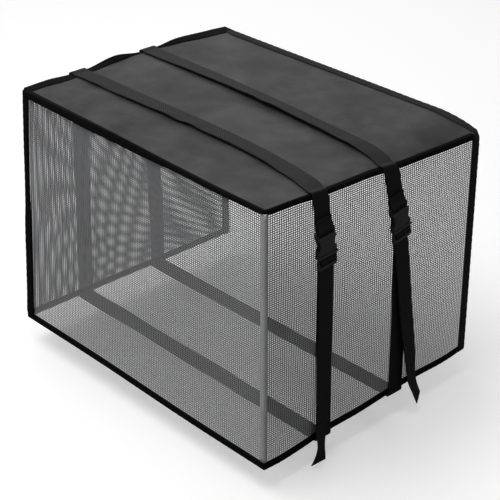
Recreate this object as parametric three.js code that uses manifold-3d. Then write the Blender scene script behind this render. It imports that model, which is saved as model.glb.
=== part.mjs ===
// Fitted outdoor cover for a window air conditioner: coated cloth top, net walls,
// bound seams and two buckled straps. Millimetres, +Z up, +X along the front wall,
// +Y towards the open back. The origin is the centre of the top panel's underside.
import * as THREE from 'three';
import { mergeVertices } from 'three/addons/utils/BufferGeometryUtils.js';
import Module from 'manifold-3d';

const wasm = await Module();
wasm.setup();

// Driving dimensions
const WIDTH = 472;
const DEPTH = 370;
const HEIGHT = 338;
const SHEET = 1.2; // cloth and net
const GAP = 0.4; // between neighbouring pieces, one over the other
const EDGE_GAP = 0.7; // between pieces that meet edge to edge
const TAPE = 2.4; // folded binding tape with the seam inside
const HEM_TAPE = 10; // height of the bottom binding
const BACK_TAPE = { top: 17, side: 12.5 }; // width of the binding round the open back
const LEFT_TAPE = 8; // width of the tape standing along the left seam
const WEBBING = 25;
const WEB_THICK = 1.5;
const WEB_LIFT = 0.6 + WEB_THICK / 2; // centre of a webbing layer above what it lies on

const HALF_W = WIDTH / 2;
const HALF_D = DEPTH / 2;

// Sewn corners: how far each sits from the true box corner, at the top and at the foot
const CORNERS = {
  leftFront: { x: -HALF_W, y: -HALF_D, topX: 2, topY: 11, footX: -5, footY: -6, footZ: 0 },
  rightFront: { x: HALF_W, y: -HALF_D, topX: -1, topY: -1, footX: 3, footY: -4, footZ: -5 },
  rightBack: { x: HALF_W, y: HALF_D, topX: -1, topY: -2, footX: -5, footY: 5, footZ: 5 },
  leftBack: { x: -HALF_W, y: HALF_D, topX: 5, topY: -8, footX: -3, footY: 2, footZ: 1 },
};

// Height of the right top seam below the top, from the front corner to the back
const RIGHT_SEAM = [
  { at: 0, by: 3 },
  { at: 0.07, by: 2.4 },
  { at: 0.14, by: 1.2 },
  { at: 0.2, by: -1 },
  { at: 0.3, by: -2.8 },
  { at: 0.38, by: -3.8 },
  { at: 0.44, by: -4.2 },
  { at: 0.5, by: -6 },
  { at: 0.56, by: -8.5 },
  { at: 0.62, by: -10 },
  { at: 0.74, by: -11.5 },
  { at: 0.8, by: -12.7 },
  { at: 0.86, by: -13.6 },
  { at: 1, by: -15 },
];
// Height of the front top seam, from the left corner to the right
const FRONT_SEAM = [
  { at: 0, by: 0 },
  { at: 0.3, by: 1.5 },
  { at: 0.43, by: 2 },
  { at: 0.6, by: 1.1 },
  { at: 0.7, by: 1.3 },
  { at: 0.8, by: 1.5 },
  { at: 0.9, by: 2.4 },
  { at: 1, by: 3 },
];
// Sag of the top's open back edge, from left to right
const BACK_SEAM = [
  { at: 0, by: 0 },
  { at: 0.25, by: -1.5 },
  { at: 0.6, by: -2.5 },
  { at: 0.88, by: -3 },
  { at: 1, by: 0 },
];
// Bow of the left top edge away from the middle, pulled in where the straps cross
const LEFT_BOW = [
  { at: 0, by: 0 },
  { at: 0.12, by: 1 },
  { at: 0.2, by: 1 },
  { at: 0.29, by: 1 },
  { at: 0.43, by: 4.5 },
  { at: 0.55, by: 3.5 },
  { at: 0.65, by: 3.5 },
  { at: 0.8, by: 4 },
  { at: 1, by: 0 },
];
// How far each seam's tape stands above its seam, or hangs below it, from the front or left
// corner
const LEFT_TAPE_RISE = [
  { at: 0, by: 3 },
  { at: 0.12, by: 3.5 },
  { at: 0.2, by: 1.6 },
  { at: 0.3, by: 1.6 },
  { at: 0.44, by: 6.5 },
  { at: 0.55, by: 1.6 },
  { at: 0.65, by: 1.6 },
  { at: 0.74, by: 4.5 },
  { at: 0.86, by: 3 },
  { at: 1, by: 1 },
];
const FRONT_TAPE_DROP = [
  { at: 0, by: 6.1 },
  { at: 0.1, by: 6.6 },
  { at: 0.2, by: 7.4 },
  { at: 0.34, by: 8.2 },
  { at: 0.45, by: 7.6 },
  { at: 0.53, by: 6.6 },
  { at: 0.6, by: 5.4 },
  { at: 0.72, by: 4 },
  { at: 0.82, by: 4.7 },
  { at: 0.9, by: 4.4 },
  { at: 1, by: 3.3 },
];
const FRONT_TAPE_RISE = [
  { at: 0, by: 1 },
  { at: 0.2, by: 1.3 },
  { at: 0.33, by: 1.7 },
  { at: 0.45, by: 2.5 },
  { at: 0.62, by: 1.6 },
  { at: 0.8, by: 0.6 },
  { at: 1, by: 0.6 },
];
const RIGHT_TAPE_DROP = [{ at: 0, by: 4.9 }];
const RIGHT_TAPE_RISE = [
  { at: 0, by: 0.6 },
  { at: 0.3, by: 0.2 },
  { at: 0.6, by: 0.2 },
  { at: 0.85, by: 1.2 },
  { at: 1, by: 1 },
];
// Waves of the three hems, each along its own wall
const FRONT_HEM = [
  { at: 0, by: 0 },
  { at: 0.35, by: 1 },
  { at: 0.7, by: -1 },
  { at: 1, by: 0 },
];
const RIGHT_HEM = [
  { at: 0, by: 0 },
  { at: 0.07, by: -2.5 },
  { at: 0.17, by: -2 },
  { at: 0.3, by: 0.5 },
  { at: 0.45, by: -1.5 },
  { at: 0.7, by: 0 },
  { at: 0.88, by: -4 },
  { at: 1, by: -2 },
];

// Straps: the line across the top (share of the way from the left edge, with the lift of its
// middle and the turn that raises its front edge), the line down the right wall (y at each
// height), and the free tail (y, stand-off from the wall and turn)
const STRAPS = [
  {
    name: 'front',
    top: [
      { at: 0, y: -85, lift: 0, turn: 0 },
      { at: 0.2, y: -88.5, lift: 0.2, turn: 1 },
      { at: 0.4, y: -90.3, lift: 0.8, turn: 4 },
      { at: 0.6, y: -89, lift: 1, turn: 5 },
      { at: 0.75, y: -90, lift: 1, turn: 5 },
      { at: 0.85, y: -94, lift: 0.5, turn: 2 },
      { at: 0.93, y: -98.5, lift: 0, turn: 0 },
      { at: 0.97, y: -102, lift: 0, turn: 0 },
      { at: 1, y: -106, lift: 0, turn: 0 },
    ],
    underY: -88,
    buckleTop: -49,
    run: [
      { z: 0, y: -106 },
      { z: -22, y: -99.5 },
      { z: -50, y: -95.5 },
      { z: -100, y: -91.5 },
      { z: -215, y: -90 },
      { z: -340, y: -88 },
    ],
    tail: [
      { z: -106, y: -91.5, off: 3.4, turn: 0 },
      { z: -165, y: -91.5, off: 4.6, turn: -3 },
      { z: -225, y: -91.5, off: 3.8, turn: 0 },
      { z: -290, y: -94, off: 5.5, turn: -6 },
      { z: -328, y: -97, off: 7.5, turn: -15 },
      { z: -341, y: -98, off: 9, turn: -25 },
      { z: -354, y: -100.5, off: 10, turn: -20 },
      { z: -371, y: -102, off: 8.5, turn: 0 },
    ],
  },
  {
    name: 'rear',
    top: [
      { at: 0, y: 37, lift: 0, turn: 0 },
      { at: 0.12, y: 34.5, lift: 0.2, turn: 1 },
      { at: 0.3, y: 32, lift: 1.4, turn: 6 },
      { at: 0.5, y: 28, lift: 2, turn: 9 },
      { at: 0.75, y: 21.5, lift: 2, turn: 9 },
      { at: 0.9, y: 17.5, lift: 1, turn: 4 },
      { at: 0.96, y: 14.5, lift: 0.2, turn: 0 },
      { at: 1, y: 11.5, lift: 0, turn: 0 },
    ],
    underY: 46,
    buckleTop: -60.5,
    run: [
      { z: 0, y: 11.5 },
      { z: -32, y: 22.5 },
      { z: -62, y: 30 },
      { z: -111, y: 39.5 },
      { z: -200, y: 44 },
      { z: -340, y: 46 },
    ],
    tail: [
      { z: -118, y: 40.8, off: 3.4, turn: 0 },
      { z: -165, y: 46.5, off: 5.5, turn: -2 },
      { z: -210, y: 52, off: 7, turn: -4 },
      { z: -255, y: 58, off: 9, turn: -8 },
      { z: -288, y: 63, off: 10, turn: -12 },
      { z: -317, y: 66, off: 11.5, turn: -20 },
      { z: -338, y: 73, off: 12, turn: -32 },
      { z: -358, y: 82, off: 12, turn: -34 },
    ],
  },
];

// Soft swellings: place along and down each face, reach each way, and height outwards
const TOP_CROWN = [{ x: -20, y: -75, rx: 190, ry: 120, by: 5 }];
const TOP_SWELLS = [
  { x: -150, y: -140, rx: 90, ry: 32, by: 1.6 },
  { x: 60, y: -140, rx: 110, ry: 30, by: 1.4 },
  { x: -130, y: -24, rx: 90, ry: 34, by: 2.2 },
  { x: 70, y: -38, rx: 100, ry: 30, by: 1.8 },
  { x: -120, y: 110, rx: 100, ry: 40, by: 2 },
  { x: 90, y: 105, rx: 110, ry: 45, by: 1.6 },
];
const RIGHT_SWELLS = [
  { x: -142, y: -75, rx: 22, ry: 60, by: 2 },
  { x: -132, y: -170, rx: 12, ry: 34, by: 3 },
  { x: -116, y: -225, rx: 12, ry: 40, by: 3.5 },
  { x: -50, y: -140, rx: 12, ry: 34, by: 2.5 },
  { x: -20, y: -60, rx: 26, ry: 50, by: 2 },
  { x: -30, y: -250, rx: 34, ry: 50, by: 2 },
  { x: 95, y: -90, rx: 30, ry: 60, by: 1.5 },
  { x: 130, y: -250, rx: 34, ry: 60, by: 2.2 },
];
const FRONT_SWELLS = [
  { x: -150, y: -90, rx: 70, ry: 70, by: 1.2 },
  { x: 20, y: -170, rx: 110, ry: 90, by: 1.6 },
  { x: 170, y: -240, rx: 50, ry: 80, by: 1.2 },
];
const LEFT_SWELLS = [
  { x: -135, y: -150, rx: 24, ry: 80, by: 2.5 },
  { x: -25, y: -120, rx: 36, ry: 70, by: 3 },
  { x: 110, y: -200, rx: 44, ry: 90, by: 3 },
];
// Creases left by folding for the box: both ends on the face, half width and depth
const RIGHT_CREASES = [
  { x0: -178, y0: -168, x1: -101, y1: -166, half: 14, by: -1.6 },
  { x0: -59, y0: -99, x1: -4, y1: -147, half: 14, by: -2 },
  { x0: -2, y0: -192, x1: -152, y1: -303, half: 16, by: -2.2 },
  { x0: 62, y0: -174, x1: 150, y1: -170, half: 14, by: -1.6 },
];
const FRONT_CREASES = [
  { x0: -225, y0: -169, x1: -60, y1: -170, half: 14, by: -1 },
  { x0: 60, y0: -170, x1: 225, y1: -168, half: 14, by: -1 },
];

// Interpolation
function smooth(f) {
  const t = Math.min(1, Math.max(0, f));
  return t * t * (3 - 2 * t);
}

function mix(a, b, f) {
  return a + (b - a) * f;
}

// Value of a table's column at a place along it, with a slope that runs on through its rows
function along(table, place, key = 'at', column = 'by') {
  const rows = table[0][key] <= table[table.length - 1][key] ? table : [...table].reverse();
  const last = rows.length - 1;
  if (place <= rows[0][key]) return rows[0][column];
  if (place >= rows[last][key]) return rows[last][column];
  const i = rows.findIndex((row) => row[key] > place) - 1;
  const slope = (k) => {
    const lo = rows[Math.max(0, k - 1)];
    const hi = rows[Math.min(last, k + 1)];
    return (hi[column] - lo[column]) / (hi[key] - lo[key]);
  };
  const span = rows[i + 1][key] - rows[i][key];
  const f = (place - rows[i][key]) / span;
  const rise = rows[i + 1][column] - rows[i][column];
  const inner = f * (1 - f) * ((1 - f) * (slope(i) * span - rise) - f * (slope(i + 1) * span - rise));
  return rows[i][column] + rise * f + inner;
}

function swell(table, x, y) {
  return table.reduce((sum, s) => {
    const d = ((x - s.x) / s.rx) ** 2 + ((y - s.y) / s.ry) ** 2;
    return sum + s.by * Math.exp(-d);
  }, 0);
}

function crease(table, x, y) {
  return table.reduce((sum, c) => {
    const dx = c.x1 - c.x0;
    const dy = c.y1 - c.y0;
    const f = Math.min(1, Math.max(0, ((x - c.x0) * dx + (y - c.y0) * dy) / (dx * dx + dy * dy)));
    const away = Math.hypot(x - c.x0 - f * dx, y - c.y0 - f * dy);
    return sum + c.by * Math.exp(-((away / c.half) ** 2));
  }, 0);
}

// Zero under a strap and one well away from it
const STRAP_REACH = { inside: 16, outside: 42 };
function freeOfStraps(y, lines) {
  return lines.reduce((least, line) => {
    const f = (Math.abs(y - line) - STRAP_REACH.inside) / (STRAP_REACH.outside - STRAP_REACH.inside);
    return Math.min(least, smooth(f));
  }, 1);
}

// Zero at both ends of a span and one inside it
function insideSpan(place, low, high, margin) {
  return smooth((place - low) / margin) * smooth((high - place) / margin);
}

// The four upright corner lines
function cornerLine(corner, z) {
  const c = CORNERS[corner];
  const f = -z / HEIGHT;
  return { x: c.x + mix(c.topX, c.footX, f), y: c.y + mix(c.topY, c.footY, f) };
}

// Strap centre lines: across the top and down each wall
function strapTopY(strap, x) {
  return along(strap.top, (x + HALF_W) / WIDTH, 'at', 'y');
}

function strapRightY(strap, z) {
  return along(strap.run, z, 'z', 'y');
}

function strapLeftY(strap, z) {
  return mix(strap.top[0].y, strap.underY, -z / HEIGHT);
}

// Faces: each gives the coordinate across the face at a place on it
const MARGIN = 30;
const SHOULDER = { flat: 14, round: 72 }; // how far in from the right seam the top turns down
function topZ(x, y) {
  const front = mix(cornerLine('leftFront', 0).y, cornerLine('rightFront', 0).y, (x + HALF_W) / WIDTH);
  const right = HALF_W;
  const t = Math.min(1, Math.max(0, (y + HALF_D) / DEPTH));
  const reach = mix(SHOULDER.flat, SHOULDER.round, smooth(t * 1.2 - 0.1));
  const towardsRight = Math.max(0, 1 - (right - x) / reach);
  const towardsFront = Math.max(0, 1 - (y - front) / MARGIN);
  const seamRight = along(RIGHT_SEAM, t) * towardsRight ** 2 * (1 - towardsFront ** 2);
  const s = (x + HALF_W) / WIDTH;
  const towardsBack = Math.max(0, 1 - (HALF_D - y) / (2 * MARGIN));
  const seamFront = along(FRONT_SEAM, s) * towardsFront ** 2;
  const seamBack = along(BACK_SEAM, s) * towardsBack ** 2;
  const lines = STRAPS.map((strap) => strapTopY(strap, x));
  const inner = insideSpan(x, -HALF_W, HALF_W, MARGIN) * insideSpan(y, -HALF_D, HALF_D, MARGIN);
  const crown = swell(TOP_CROWN, x, y) * inner;
  const soft = crown + swell(TOP_SWELLS, x, y) * inner * freeOfStraps(y, lines);
  return seamRight + seamFront + seamBack + soft;
}

const SIDE_TUCK = { at: 30, by: -6 }; // the right wall turns in under the rounded shoulder
function rightX(y, z) {
  const near = cornerLine('rightFront', z);
  const far = cornerLine('rightBack', z);
  const t = (y - near.y) / (far.y - near.y);
  const tuck = SIDE_TUCK.by * smooth(t * 1.4 - 0.4) * Math.max(0, 1 + z / SIDE_TUCK.at) ** 2;
  const lines = STRAPS.map((strap) => strapRightY(strap, z));
  const inner = insideSpan(-z, 0, HEIGHT, MARGIN) * insideSpan(y, near.y, far.y, MARGIN);
  const soft = swell(RIGHT_SWELLS, y, z) + crease(RIGHT_CREASES, y, z);
  return mix(near.x, far.x, t) + tuck + soft * inner * freeOfStraps(y, lines);
}

function leftX(y, z) {
  const near = cornerLine('leftFront', z);
  const far = cornerLine('leftBack', z);
  const t = (y - near.y) / (far.y - near.y);
  const bow = -along(LEFT_BOW, t) * (1 + z / HEIGHT);
  const lines = STRAPS.map((strap) => strapLeftY(strap, z));
  const inner = insideSpan(-z, 0, HEIGHT, MARGIN) * insideSpan(y, near.y, far.y, MARGIN);
  return mix(near.x, far.x, t) + bow - swell(LEFT_SWELLS, y, z) * inner * freeOfStraps(y, lines);
}

function frontY(x, z) {
  const left = cornerLine('leftFront', z);
  const right = cornerLine('rightFront', z);
  const t = (x - left.x) / (right.x - left.x);
  const inner = insideSpan(-z, 0, HEIGHT, MARGIN) * insideSpan(x, left.x, right.x, MARGIN);
  const soft = swell(FRONT_SWELLS, x, z) + crease(FRONT_CREASES, x, z);
  return mix(left.y, right.y, t) - soft * inner;
}

// Points on the walls: place along the wall, share of the height, and stand-off outwards.
// The top of each wall follows its seam and the foot follows its hem.
function wallHeight(share, seam, hem) {
  return mix(seam, -HEIGHT + hem, share);
}

function frontPoint(t, share, off) {
  const hem = mix(CORNERS.leftFront.footZ, CORNERS.rightFront.footZ, t) + along(FRONT_HEM, t);
  const z = wallHeight(share, along(FRONT_SEAM, t), hem);
  const x = mix(cornerLine('leftFront', z).x, cornerLine('rightFront', z).x, t);
  return new THREE.Vector3(x, frontY(x, z) - off, z);
}

function rightPoint(t, share, off) {
  const hem = mix(CORNERS.rightFront.footZ, CORNERS.rightBack.footZ, t) + along(RIGHT_HEM, t);
  const z = wallHeight(share, along(RIGHT_SEAM, t), hem);
  const y = mix(cornerLine('rightFront', z).y, cornerLine('rightBack', z).y, t);
  return new THREE.Vector3(rightX(y, z) + off, y, z);
}

function leftPoint(t, share, off) {
  const hem = mix(CORNERS.leftFront.footZ, CORNERS.leftBack.footZ, t);
  const z = wallHeight(share, 0, hem);
  const y = mix(cornerLine('leftFront', z).y, cornerLine('leftBack', z).y, t);
  return new THREE.Vector3(leftX(y, z) - off, y, z);
}

// Point on the top: share of the way from left to right and from front to back
function topPoint(s, t, off) {
  const front = mix(cornerLine('leftFront', 0).y, cornerLine('rightFront', 0).y, s);
  const back = mix(cornerLine('leftBack', 0).y, cornerLine('rightBack', 0).y, s);
  const y = mix(front, back, t);
  const x = mix(leftX(y, 0), rightX(y, along(RIGHT_SEAM, t)), s);
  return new THREE.Vector3(x, y, topZ(x, y) + off);
}

// Closed sheet between two stand-offs of a face, over a span of its two shares
function sheet(point, across, down, low, high, steps) {
  const { nu, nv } = steps;
  const positions = [];
  const index = [];
  for (const off of [low, high]) {
    for (let j = 0; j <= nv; j += 1) {
      for (let i = 0; i <= nu; i += 1) {
        const p = point(mix(across[0], across[1], i / nu), mix(down[0], down[1], j / nv), off);
        positions.push(p.x, p.y, p.z);
      }
    }
  }
  const row = nu + 1;
  const layer = row * (nv + 1);
  const quad = (a, b, c, d) => index.push(a, b, c, a, c, d);
  for (let j = 0; j < nv; j += 1) {
    for (let i = 0; i < nu; i += 1) {
      const k = j * row + i;
      quad(k, k + row, k + row + 1, k + 1);
      quad(layer + k, layer + k + 1, layer + k + row + 1, layer + k + row);
    }
  }
  for (let i = 0; i < nu; i += 1) {
    quad(i, i + 1, layer + i + 1, layer + i);
    const k = nv * row + i;
    quad(k + 1, k, layer + k, layer + k + 1);
  }
  for (let j = 0; j < nv; j += 1) {
    const k = j * row;
    quad(k + row, k, layer + k, layer + k + row);
    const m = k + nu;
    quad(m, m + row, layer + m + row, layer + m);
  }
  return closedGeometry(positions, index);
}

// Geometry with its faces turned outwards
function closedGeometry(positions, index) {
  let volume = 0;
  const at = (i) => new THREE.Vector3().fromArray(positions, i * 3);
  for (let i = 0; i < index.length; i += 3) {
    volume += at(index[i]).dot(at(index[i + 1]).cross(at(index[i + 2])));
  }
  if (volume < 0) {
    for (let i = 0; i < index.length; i += 3) {
      [index[i + 1], index[i + 2]] = [index[i + 2], index[i + 1]];
    }
  }
  const geometry = new THREE.BufferGeometry();
  geometry.setAttribute('position', new THREE.Float32BufferAttribute(positions, 3));
  geometry.setIndex(index);
  geometry.computeVertexNormals();
  return geometry;
}

// Closed band between two edges given station by station, mitred where it turns.
// Its thickness runs from low to high along the face normal.
function band(stations, low, high) {
  const middle = stations.map((s) => s.a.clone().add(s.b).multiplyScalar(0.5));
  const faceNormal = (i, k) => {
    const ahead = middle[k].clone().sub(middle[i]);
    const width = stations[i].b.clone().sub(stations[i].a);
    width.add(stations[k].b.clone().sub(stations[k].a));
    return ahead.cross(width).normalize();
  };
  const positions = [];
  const last = stations.length - 1;
  stations.forEach((station, i) => {
    const before = faceNormal(Math.max(0, i - 1), Math.max(1, i));
    const after = faceNormal(Math.min(last - 1, i), Math.min(last, i + 1));
    const normal = before.clone().add(after).normalize();
    const reach = 1 / Math.max(0.6, normal.dot(before));
    for (const [edge, off] of [['a', low], ['a', high], ['b', high], ['b', low]]) {
      const p = station[edge].clone().addScaledVector(normal, off * reach);
      positions.push(p.x, p.y, p.z);
    }
  });
  const index = [0, 1, 2, 0, 2, 3];
  for (let i = 0; i < last; i += 1) {
    for (let k = 0; k < 4; k += 1) {
      const a = i * 4 + k;
      const b = i * 4 + ((k + 1) % 4);
      index.push(a, a + 4, b + 4, a, b + 4, b);
    }
  }
  const end = last * 4;
  index.push(end, end + 2, end + 1, end, end + 3, end + 2);
  return closedGeometry(positions, index);
}

function steps(count, make) {
  return Array.from({ length: count + 1 }, (_, i) => make(i / count));
}

// Materials
function cloth(color, roughness) {
  return new THREE.MeshStandardMaterial({ color, roughness, metalness: 0 });
}

const TOP_CLOTH = cloth(0x4a4a4b, 0.7);
const NET = cloth(0x6c6d6f, 0.85);
const TAPE_CLOTH = cloth(0x1b1b1c, 0.75);
const SEAM_CLOTH = cloth(0x77787a, 0.8);
const WEB = cloth(0x202021, 0.8);
const PLASTIC = new THREE.MeshStandardMaterial({ color: 0x1d1e20, roughness: 0.45, metalness: 0 });

const cover = new THREE.Group();

function add(name, geometry, material, parent = cover) {
  const mesh = new THREE.Mesh(geometry, material);
  mesh.name = name;
  parent.add(mesh);
  return mesh;
}

// Panels
const HEM_SHARE = 1 - (HEM_TAPE + EDGE_GAP) / HEIGHT;
const BACK_SHARE = 1 - (BACK_TAPE.side + EDGE_GAP) / DEPTH;
// The top's binding narrows to the side's width over the last part of the way to each corner
const BACK_TAPER = 0.07;
function topBackTape(s) {
  return mix(BACK_TAPE.side, BACK_TAPE.top, insideSpan(s, 0.008, 0.992, BACK_TAPER));
}
function topPanelPoint(s, t, off) {
  return topPoint(s, t * (1 - (topBackTape(s) + EDGE_GAP) / DEPTH), off);
}
const SEAM_SHARE = 0.8 / HEIGHT; // the walls start just under the top
const CORNER_SHARE = (SHEET + GAP) / DEPTH; // the side walls start just behind the front
add('top_panel', sheet(topPanelPoint, [0, 1], [0, 1], 0, SHEET, { nu: 28, nv: 22 }), TOP_CLOTH);
add('front_mesh', sheet(frontPoint, [0, 1], [SEAM_SHARE, HEM_SHARE], -SHEET, 0, { nu: 22, nv: 14 }), NET);
add(
  'right_mesh',
  sheet(rightPoint, [CORNER_SHARE, BACK_SHARE], [SEAM_SHARE, HEM_SHARE], -SHEET, 0, { nu: 24, nv: 20 }),
  NET,
);
add(
  'left_mesh',
  sheet(leftPoint, [CORNER_SHARE, BACK_SHARE], [SEAM_SHARE, HEM_SHARE], -SHEET, 0, { nu: 24, nv: 7 }),
  NET,
);

// Bound seams round the top: the front and right tapes hang over their walls, and the left
// one stands up, pressed flat where the straps cross
const SEAM_STEPS = 22;
const TAPE_TOP = SHEET + 0.4;
const TAPE_OFF = 0.6; // between a wall and the tape over its top edge
function hangingTape(point, span, drop, rise) {
  return steps(SEAM_STEPS, (f) => {
    const t = mix(span[0], span[1], f);
    const b = point(t, 0, TAPE_OFF);
    b.z += TAPE_TOP + along(rise, t);
    const a = point(t, along(drop, t) / HEIGHT, TAPE_OFF);
    return { a, b };
  });
}

const CORNER_CLEAR = 0.012; // share of a wall left bare at a corner for the next tape
const SEAM_END = BACK_SHARE - 0.002;
const frontTape = hangingTape(frontPoint, [0, 1], FRONT_TAPE_DROP, FRONT_TAPE_RISE);
const rightTape = hangingTape(rightPoint, [CORNER_CLEAR, SEAM_END], RIGHT_TAPE_DROP, RIGHT_TAPE_RISE);
add('front_top_binding', band(frontTape, 0, TAPE), TAPE_CLOTH);
add('right_top_binding', band(rightTape, 0, TAPE), TAPE_CLOTH);

const LEFT_TAPE_LEAN = 0.25; // outward lean of the standing tape for each mm of rise
const OVER_BACK_TAPE = 0.9; // the left tape runs on outside the back binding
const leftTape = steps(2 * SEAM_STEPS, (f) => {
  const t = 1 - f;
  const rise = along(LEFT_TAPE_RISE, t);
  const off = TAPE_OFF + OVER_BACK_TAPE * smooth((t - 0.88) / 0.06);
  const a = leftPoint(t, 0, off);
  a.z -= LEFT_TAPE - SHEET - rise;
  const b = leftPoint(t, 0, off + LEFT_TAPE_LEAN * rise);
  b.z += SHEET + rise;
  return { a, b };
});
add('left_top_binding', band(leftTape, 0, TAPE), TAPE_CLOTH);

// Bound seam up the left front corner, its outer edge a little wavy
const CORNER_WAVE = [
  { at: 0.03, by: 0.6 },
  { at: 0.2, by: 0.2 },
  { at: 0.42, by: -0.9 },
  { at: 0.56, by: 0.7 },
  { at: 0.72, by: 0 },
  { at: 0.88, by: -0.4 },
  { at: 1, by: 0.4 },
];
const CORNER_WIDTH = [
  { at: 0, by: 9.6 },
  { at: 0.3, by: 10 },
  { at: 0.5, by: 12 },
  { at: 0.64, by: 14 },
  { at: 1, by: 14.4 },
];
const UNDER_SEAM = 8.5 / HEIGHT; // just under the front seam's tape
const CORNER_IN = 0.5; // the tape's outer edge lies this far inside the corner
const CORNER_OFF = 0.6; // between the front wall and the tape, which lies across its swell
const cornerTape = steps(20, (f) => {
  const share = mix(UNDER_SEAM, HEM_SHARE - 0.001, f);
  const width = along(CORNER_WIDTH, share);
  const b = frontPoint((CORNER_IN + width) / WIDTH, share, CORNER_OFF);
  const a = b.clone();
  a.x -= width + along(CORNER_WAVE, share);
  return { a, b };
});
add('left_corner_binding', band(cornerTape, 0, TAPE), TAPE_CLOTH);

// Plain folded seam down the right front corner: an angle strip over both walls
const CORNER_SEAM = { onFront: 6, onSide: 3, thick: 0.9, top: 5 / HEIGHT };
function cornerSeam() {
  const rows = steps(16, (f) => {
    const share = mix(CORNER_SEAM.top, HEM_SHARE - 0.001, f);
    const z = frontPoint(1, share, 0).z;
    const c = cornerLine('rightFront', z);
    const inner = GAP;
    const outer = GAP + CORNER_SEAM.thick;
    return [
      [c.x - CORNER_SEAM.onFront, c.y - inner, z],
      [c.x - CORNER_SEAM.onFront, c.y - outer, z],
      [c.x + outer, c.y - outer, z],
      [c.x + outer, c.y + CORNER_SEAM.onSide, z],
      [c.x + inner, c.y + CORNER_SEAM.onSide, z],
      [c.x + inner, c.y - inner, z],
    ];
  });
  const sides = 6;
  const index = [];
  const last = (rows.length - 1) * sides;
  for (let i = 0; i < rows.length - 1; i += 1) {
    for (let k = 0; k < sides; k += 1) {
      const a = i * sides + k;
      const b = i * sides + ((k + 1) % sides);
      index.push(a, a + sides, b + sides, a, b + sides, b);
    }
  }
  // The section is an L, cut into two four-sided halves at its inner corner
  for (const [a, b, c] of [[0, 1, 5], [1, 2, 5], [2, 3, 5], [3, 4, 5]]) {
    index.push(a, b, c, last + a, last + c, last + b);
  }
  return closedGeometry(rows.flat(2), index);
}
add('right_corner_seam', cornerSeam(), SEAM_CLOTH);

// Bottom binding: one tape round the left, front and right hems, edge to edge with the walls
const TAPE_IN = -1.8;
const FOOT_SHARE = HEM_SHARE + EDGE_GAP / HEIGHT;
function hemStation(point, t) {
  return { a: point(t, 1, 0), b: point(t, FOOT_SHARE, 0) };
}
const hemTape = [
  ...steps(14, (f) => hemStation(leftPoint, mix(BACK_SHARE - 0.002, 0, f))),
  ...steps(18, (f) => hemStation(frontPoint, f)).slice(1),
  ...steps(22, (f) => hemStation(rightPoint, mix(0, BACK_SHARE - 0.002, f))).slice(1),
];
add('bottom_binding', band(hemTape, TAPE_IN, TAPE_IN + TAPE), TAPE_CLOTH);

// Binding round the open back: up the left wall, over the top and down the right wall
function backStation(point, share) {
  return { a: point(1 - BACK_TAPE.side / DEPTH, share, 0), b: point(1, share, 0) };
}
function backTopStation(s) {
  return { a: topPoint(s, 1 - topBackTape(s) / DEPTH, SHEET), b: topPoint(s, 1, SHEET) };
}
const backTape = [
  ...steps(12, (f) => backStation(leftPoint, mix(1, 0.01, f))),
  ...steps(24, (f) => backTopStation(mix(0.008, 0.992, f))),
  ...steps(16, (f) => backStation(rightPoint, mix(0.012, 1, f))),
];
add('back_binding', band(backTape, TAPE_IN, TAPE_IN + TAPE), TAPE_CLOTH);

// Buckle halves, drawn flat with x across the strap, y up along it and z outwards.
// y is zero at the top end of the closed buckle.
const BUCKLE = {
  length: 50,
  halfWidth: 15,
  bar: 2.6, // bars that the webbing goes round, along the strap
  slot: 4.4, // clear slot beside a bar
  slotHalf: 13,
  barLow: 2.4, // bars, outwards from the wall
  barHigh: 5.2,
  bodyLow: 0.8,
  bodyHigh: 9.6,
  bodyTop: -7.2,
  bodyFoot: -30,
};

function solidOf(geometry) {
  const bare = geometry.index ? geometry.toNonIndexed() : geometry.clone();
  bare.deleteAttribute('normal');
  bare.deleteAttribute('uv');
  const merged = mergeVertices(bare, 1e-4);
  return new wasm.Manifold(new wasm.Mesh({
    numProp: 3,
    vertProperties: new Float32Array(merged.attributes.position.array),
    triVerts: new Uint32Array(merged.index.array),
  }));
}

function geometryOf(solid) {
  const mesh = solid.getMesh();
  const geometry = new THREE.BufferGeometry();
  geometry.setAttribute('position', new THREE.BufferAttribute(mesh.vertProperties, 3));
  geometry.setIndex(new THREE.BufferAttribute(mesh.triVerts, 1));
  geometry.computeVertexNormals();
  return geometry;
}

function roundedBar(left, right, low, high, radius) {
  const shape = new THREE.Shape();
  shape.moveTo(left + radius, low);
  shape.lineTo(right - radius, low);
  shape.absarc(right - radius, low + radius, radius, -Math.PI / 2, 0);
  shape.absarc(right - radius, high - radius, radius, 0, Math.PI / 2);
  shape.absarc(left + radius, high - radius, radius, Math.PI / 2, Math.PI);
  shape.absarc(left + radius, low + radius, radius, Math.PI, 1.5 * Math.PI);
  return shape;
}

function plate(shape, low, high, bevel = 0) {
  const geometry = new THREE.ExtrudeGeometry(shape, {
    depth: high - low - 2 * bevel,
    bevelEnabled: bevel > 0,
    bevelThickness: bevel,
    bevelSize: bevel,
    bevelOffset: -bevel,
    bevelSegments: 1,
    curveSegments: 4,
  });
  return geometry.translate(0, 0, low + bevel);
}

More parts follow.
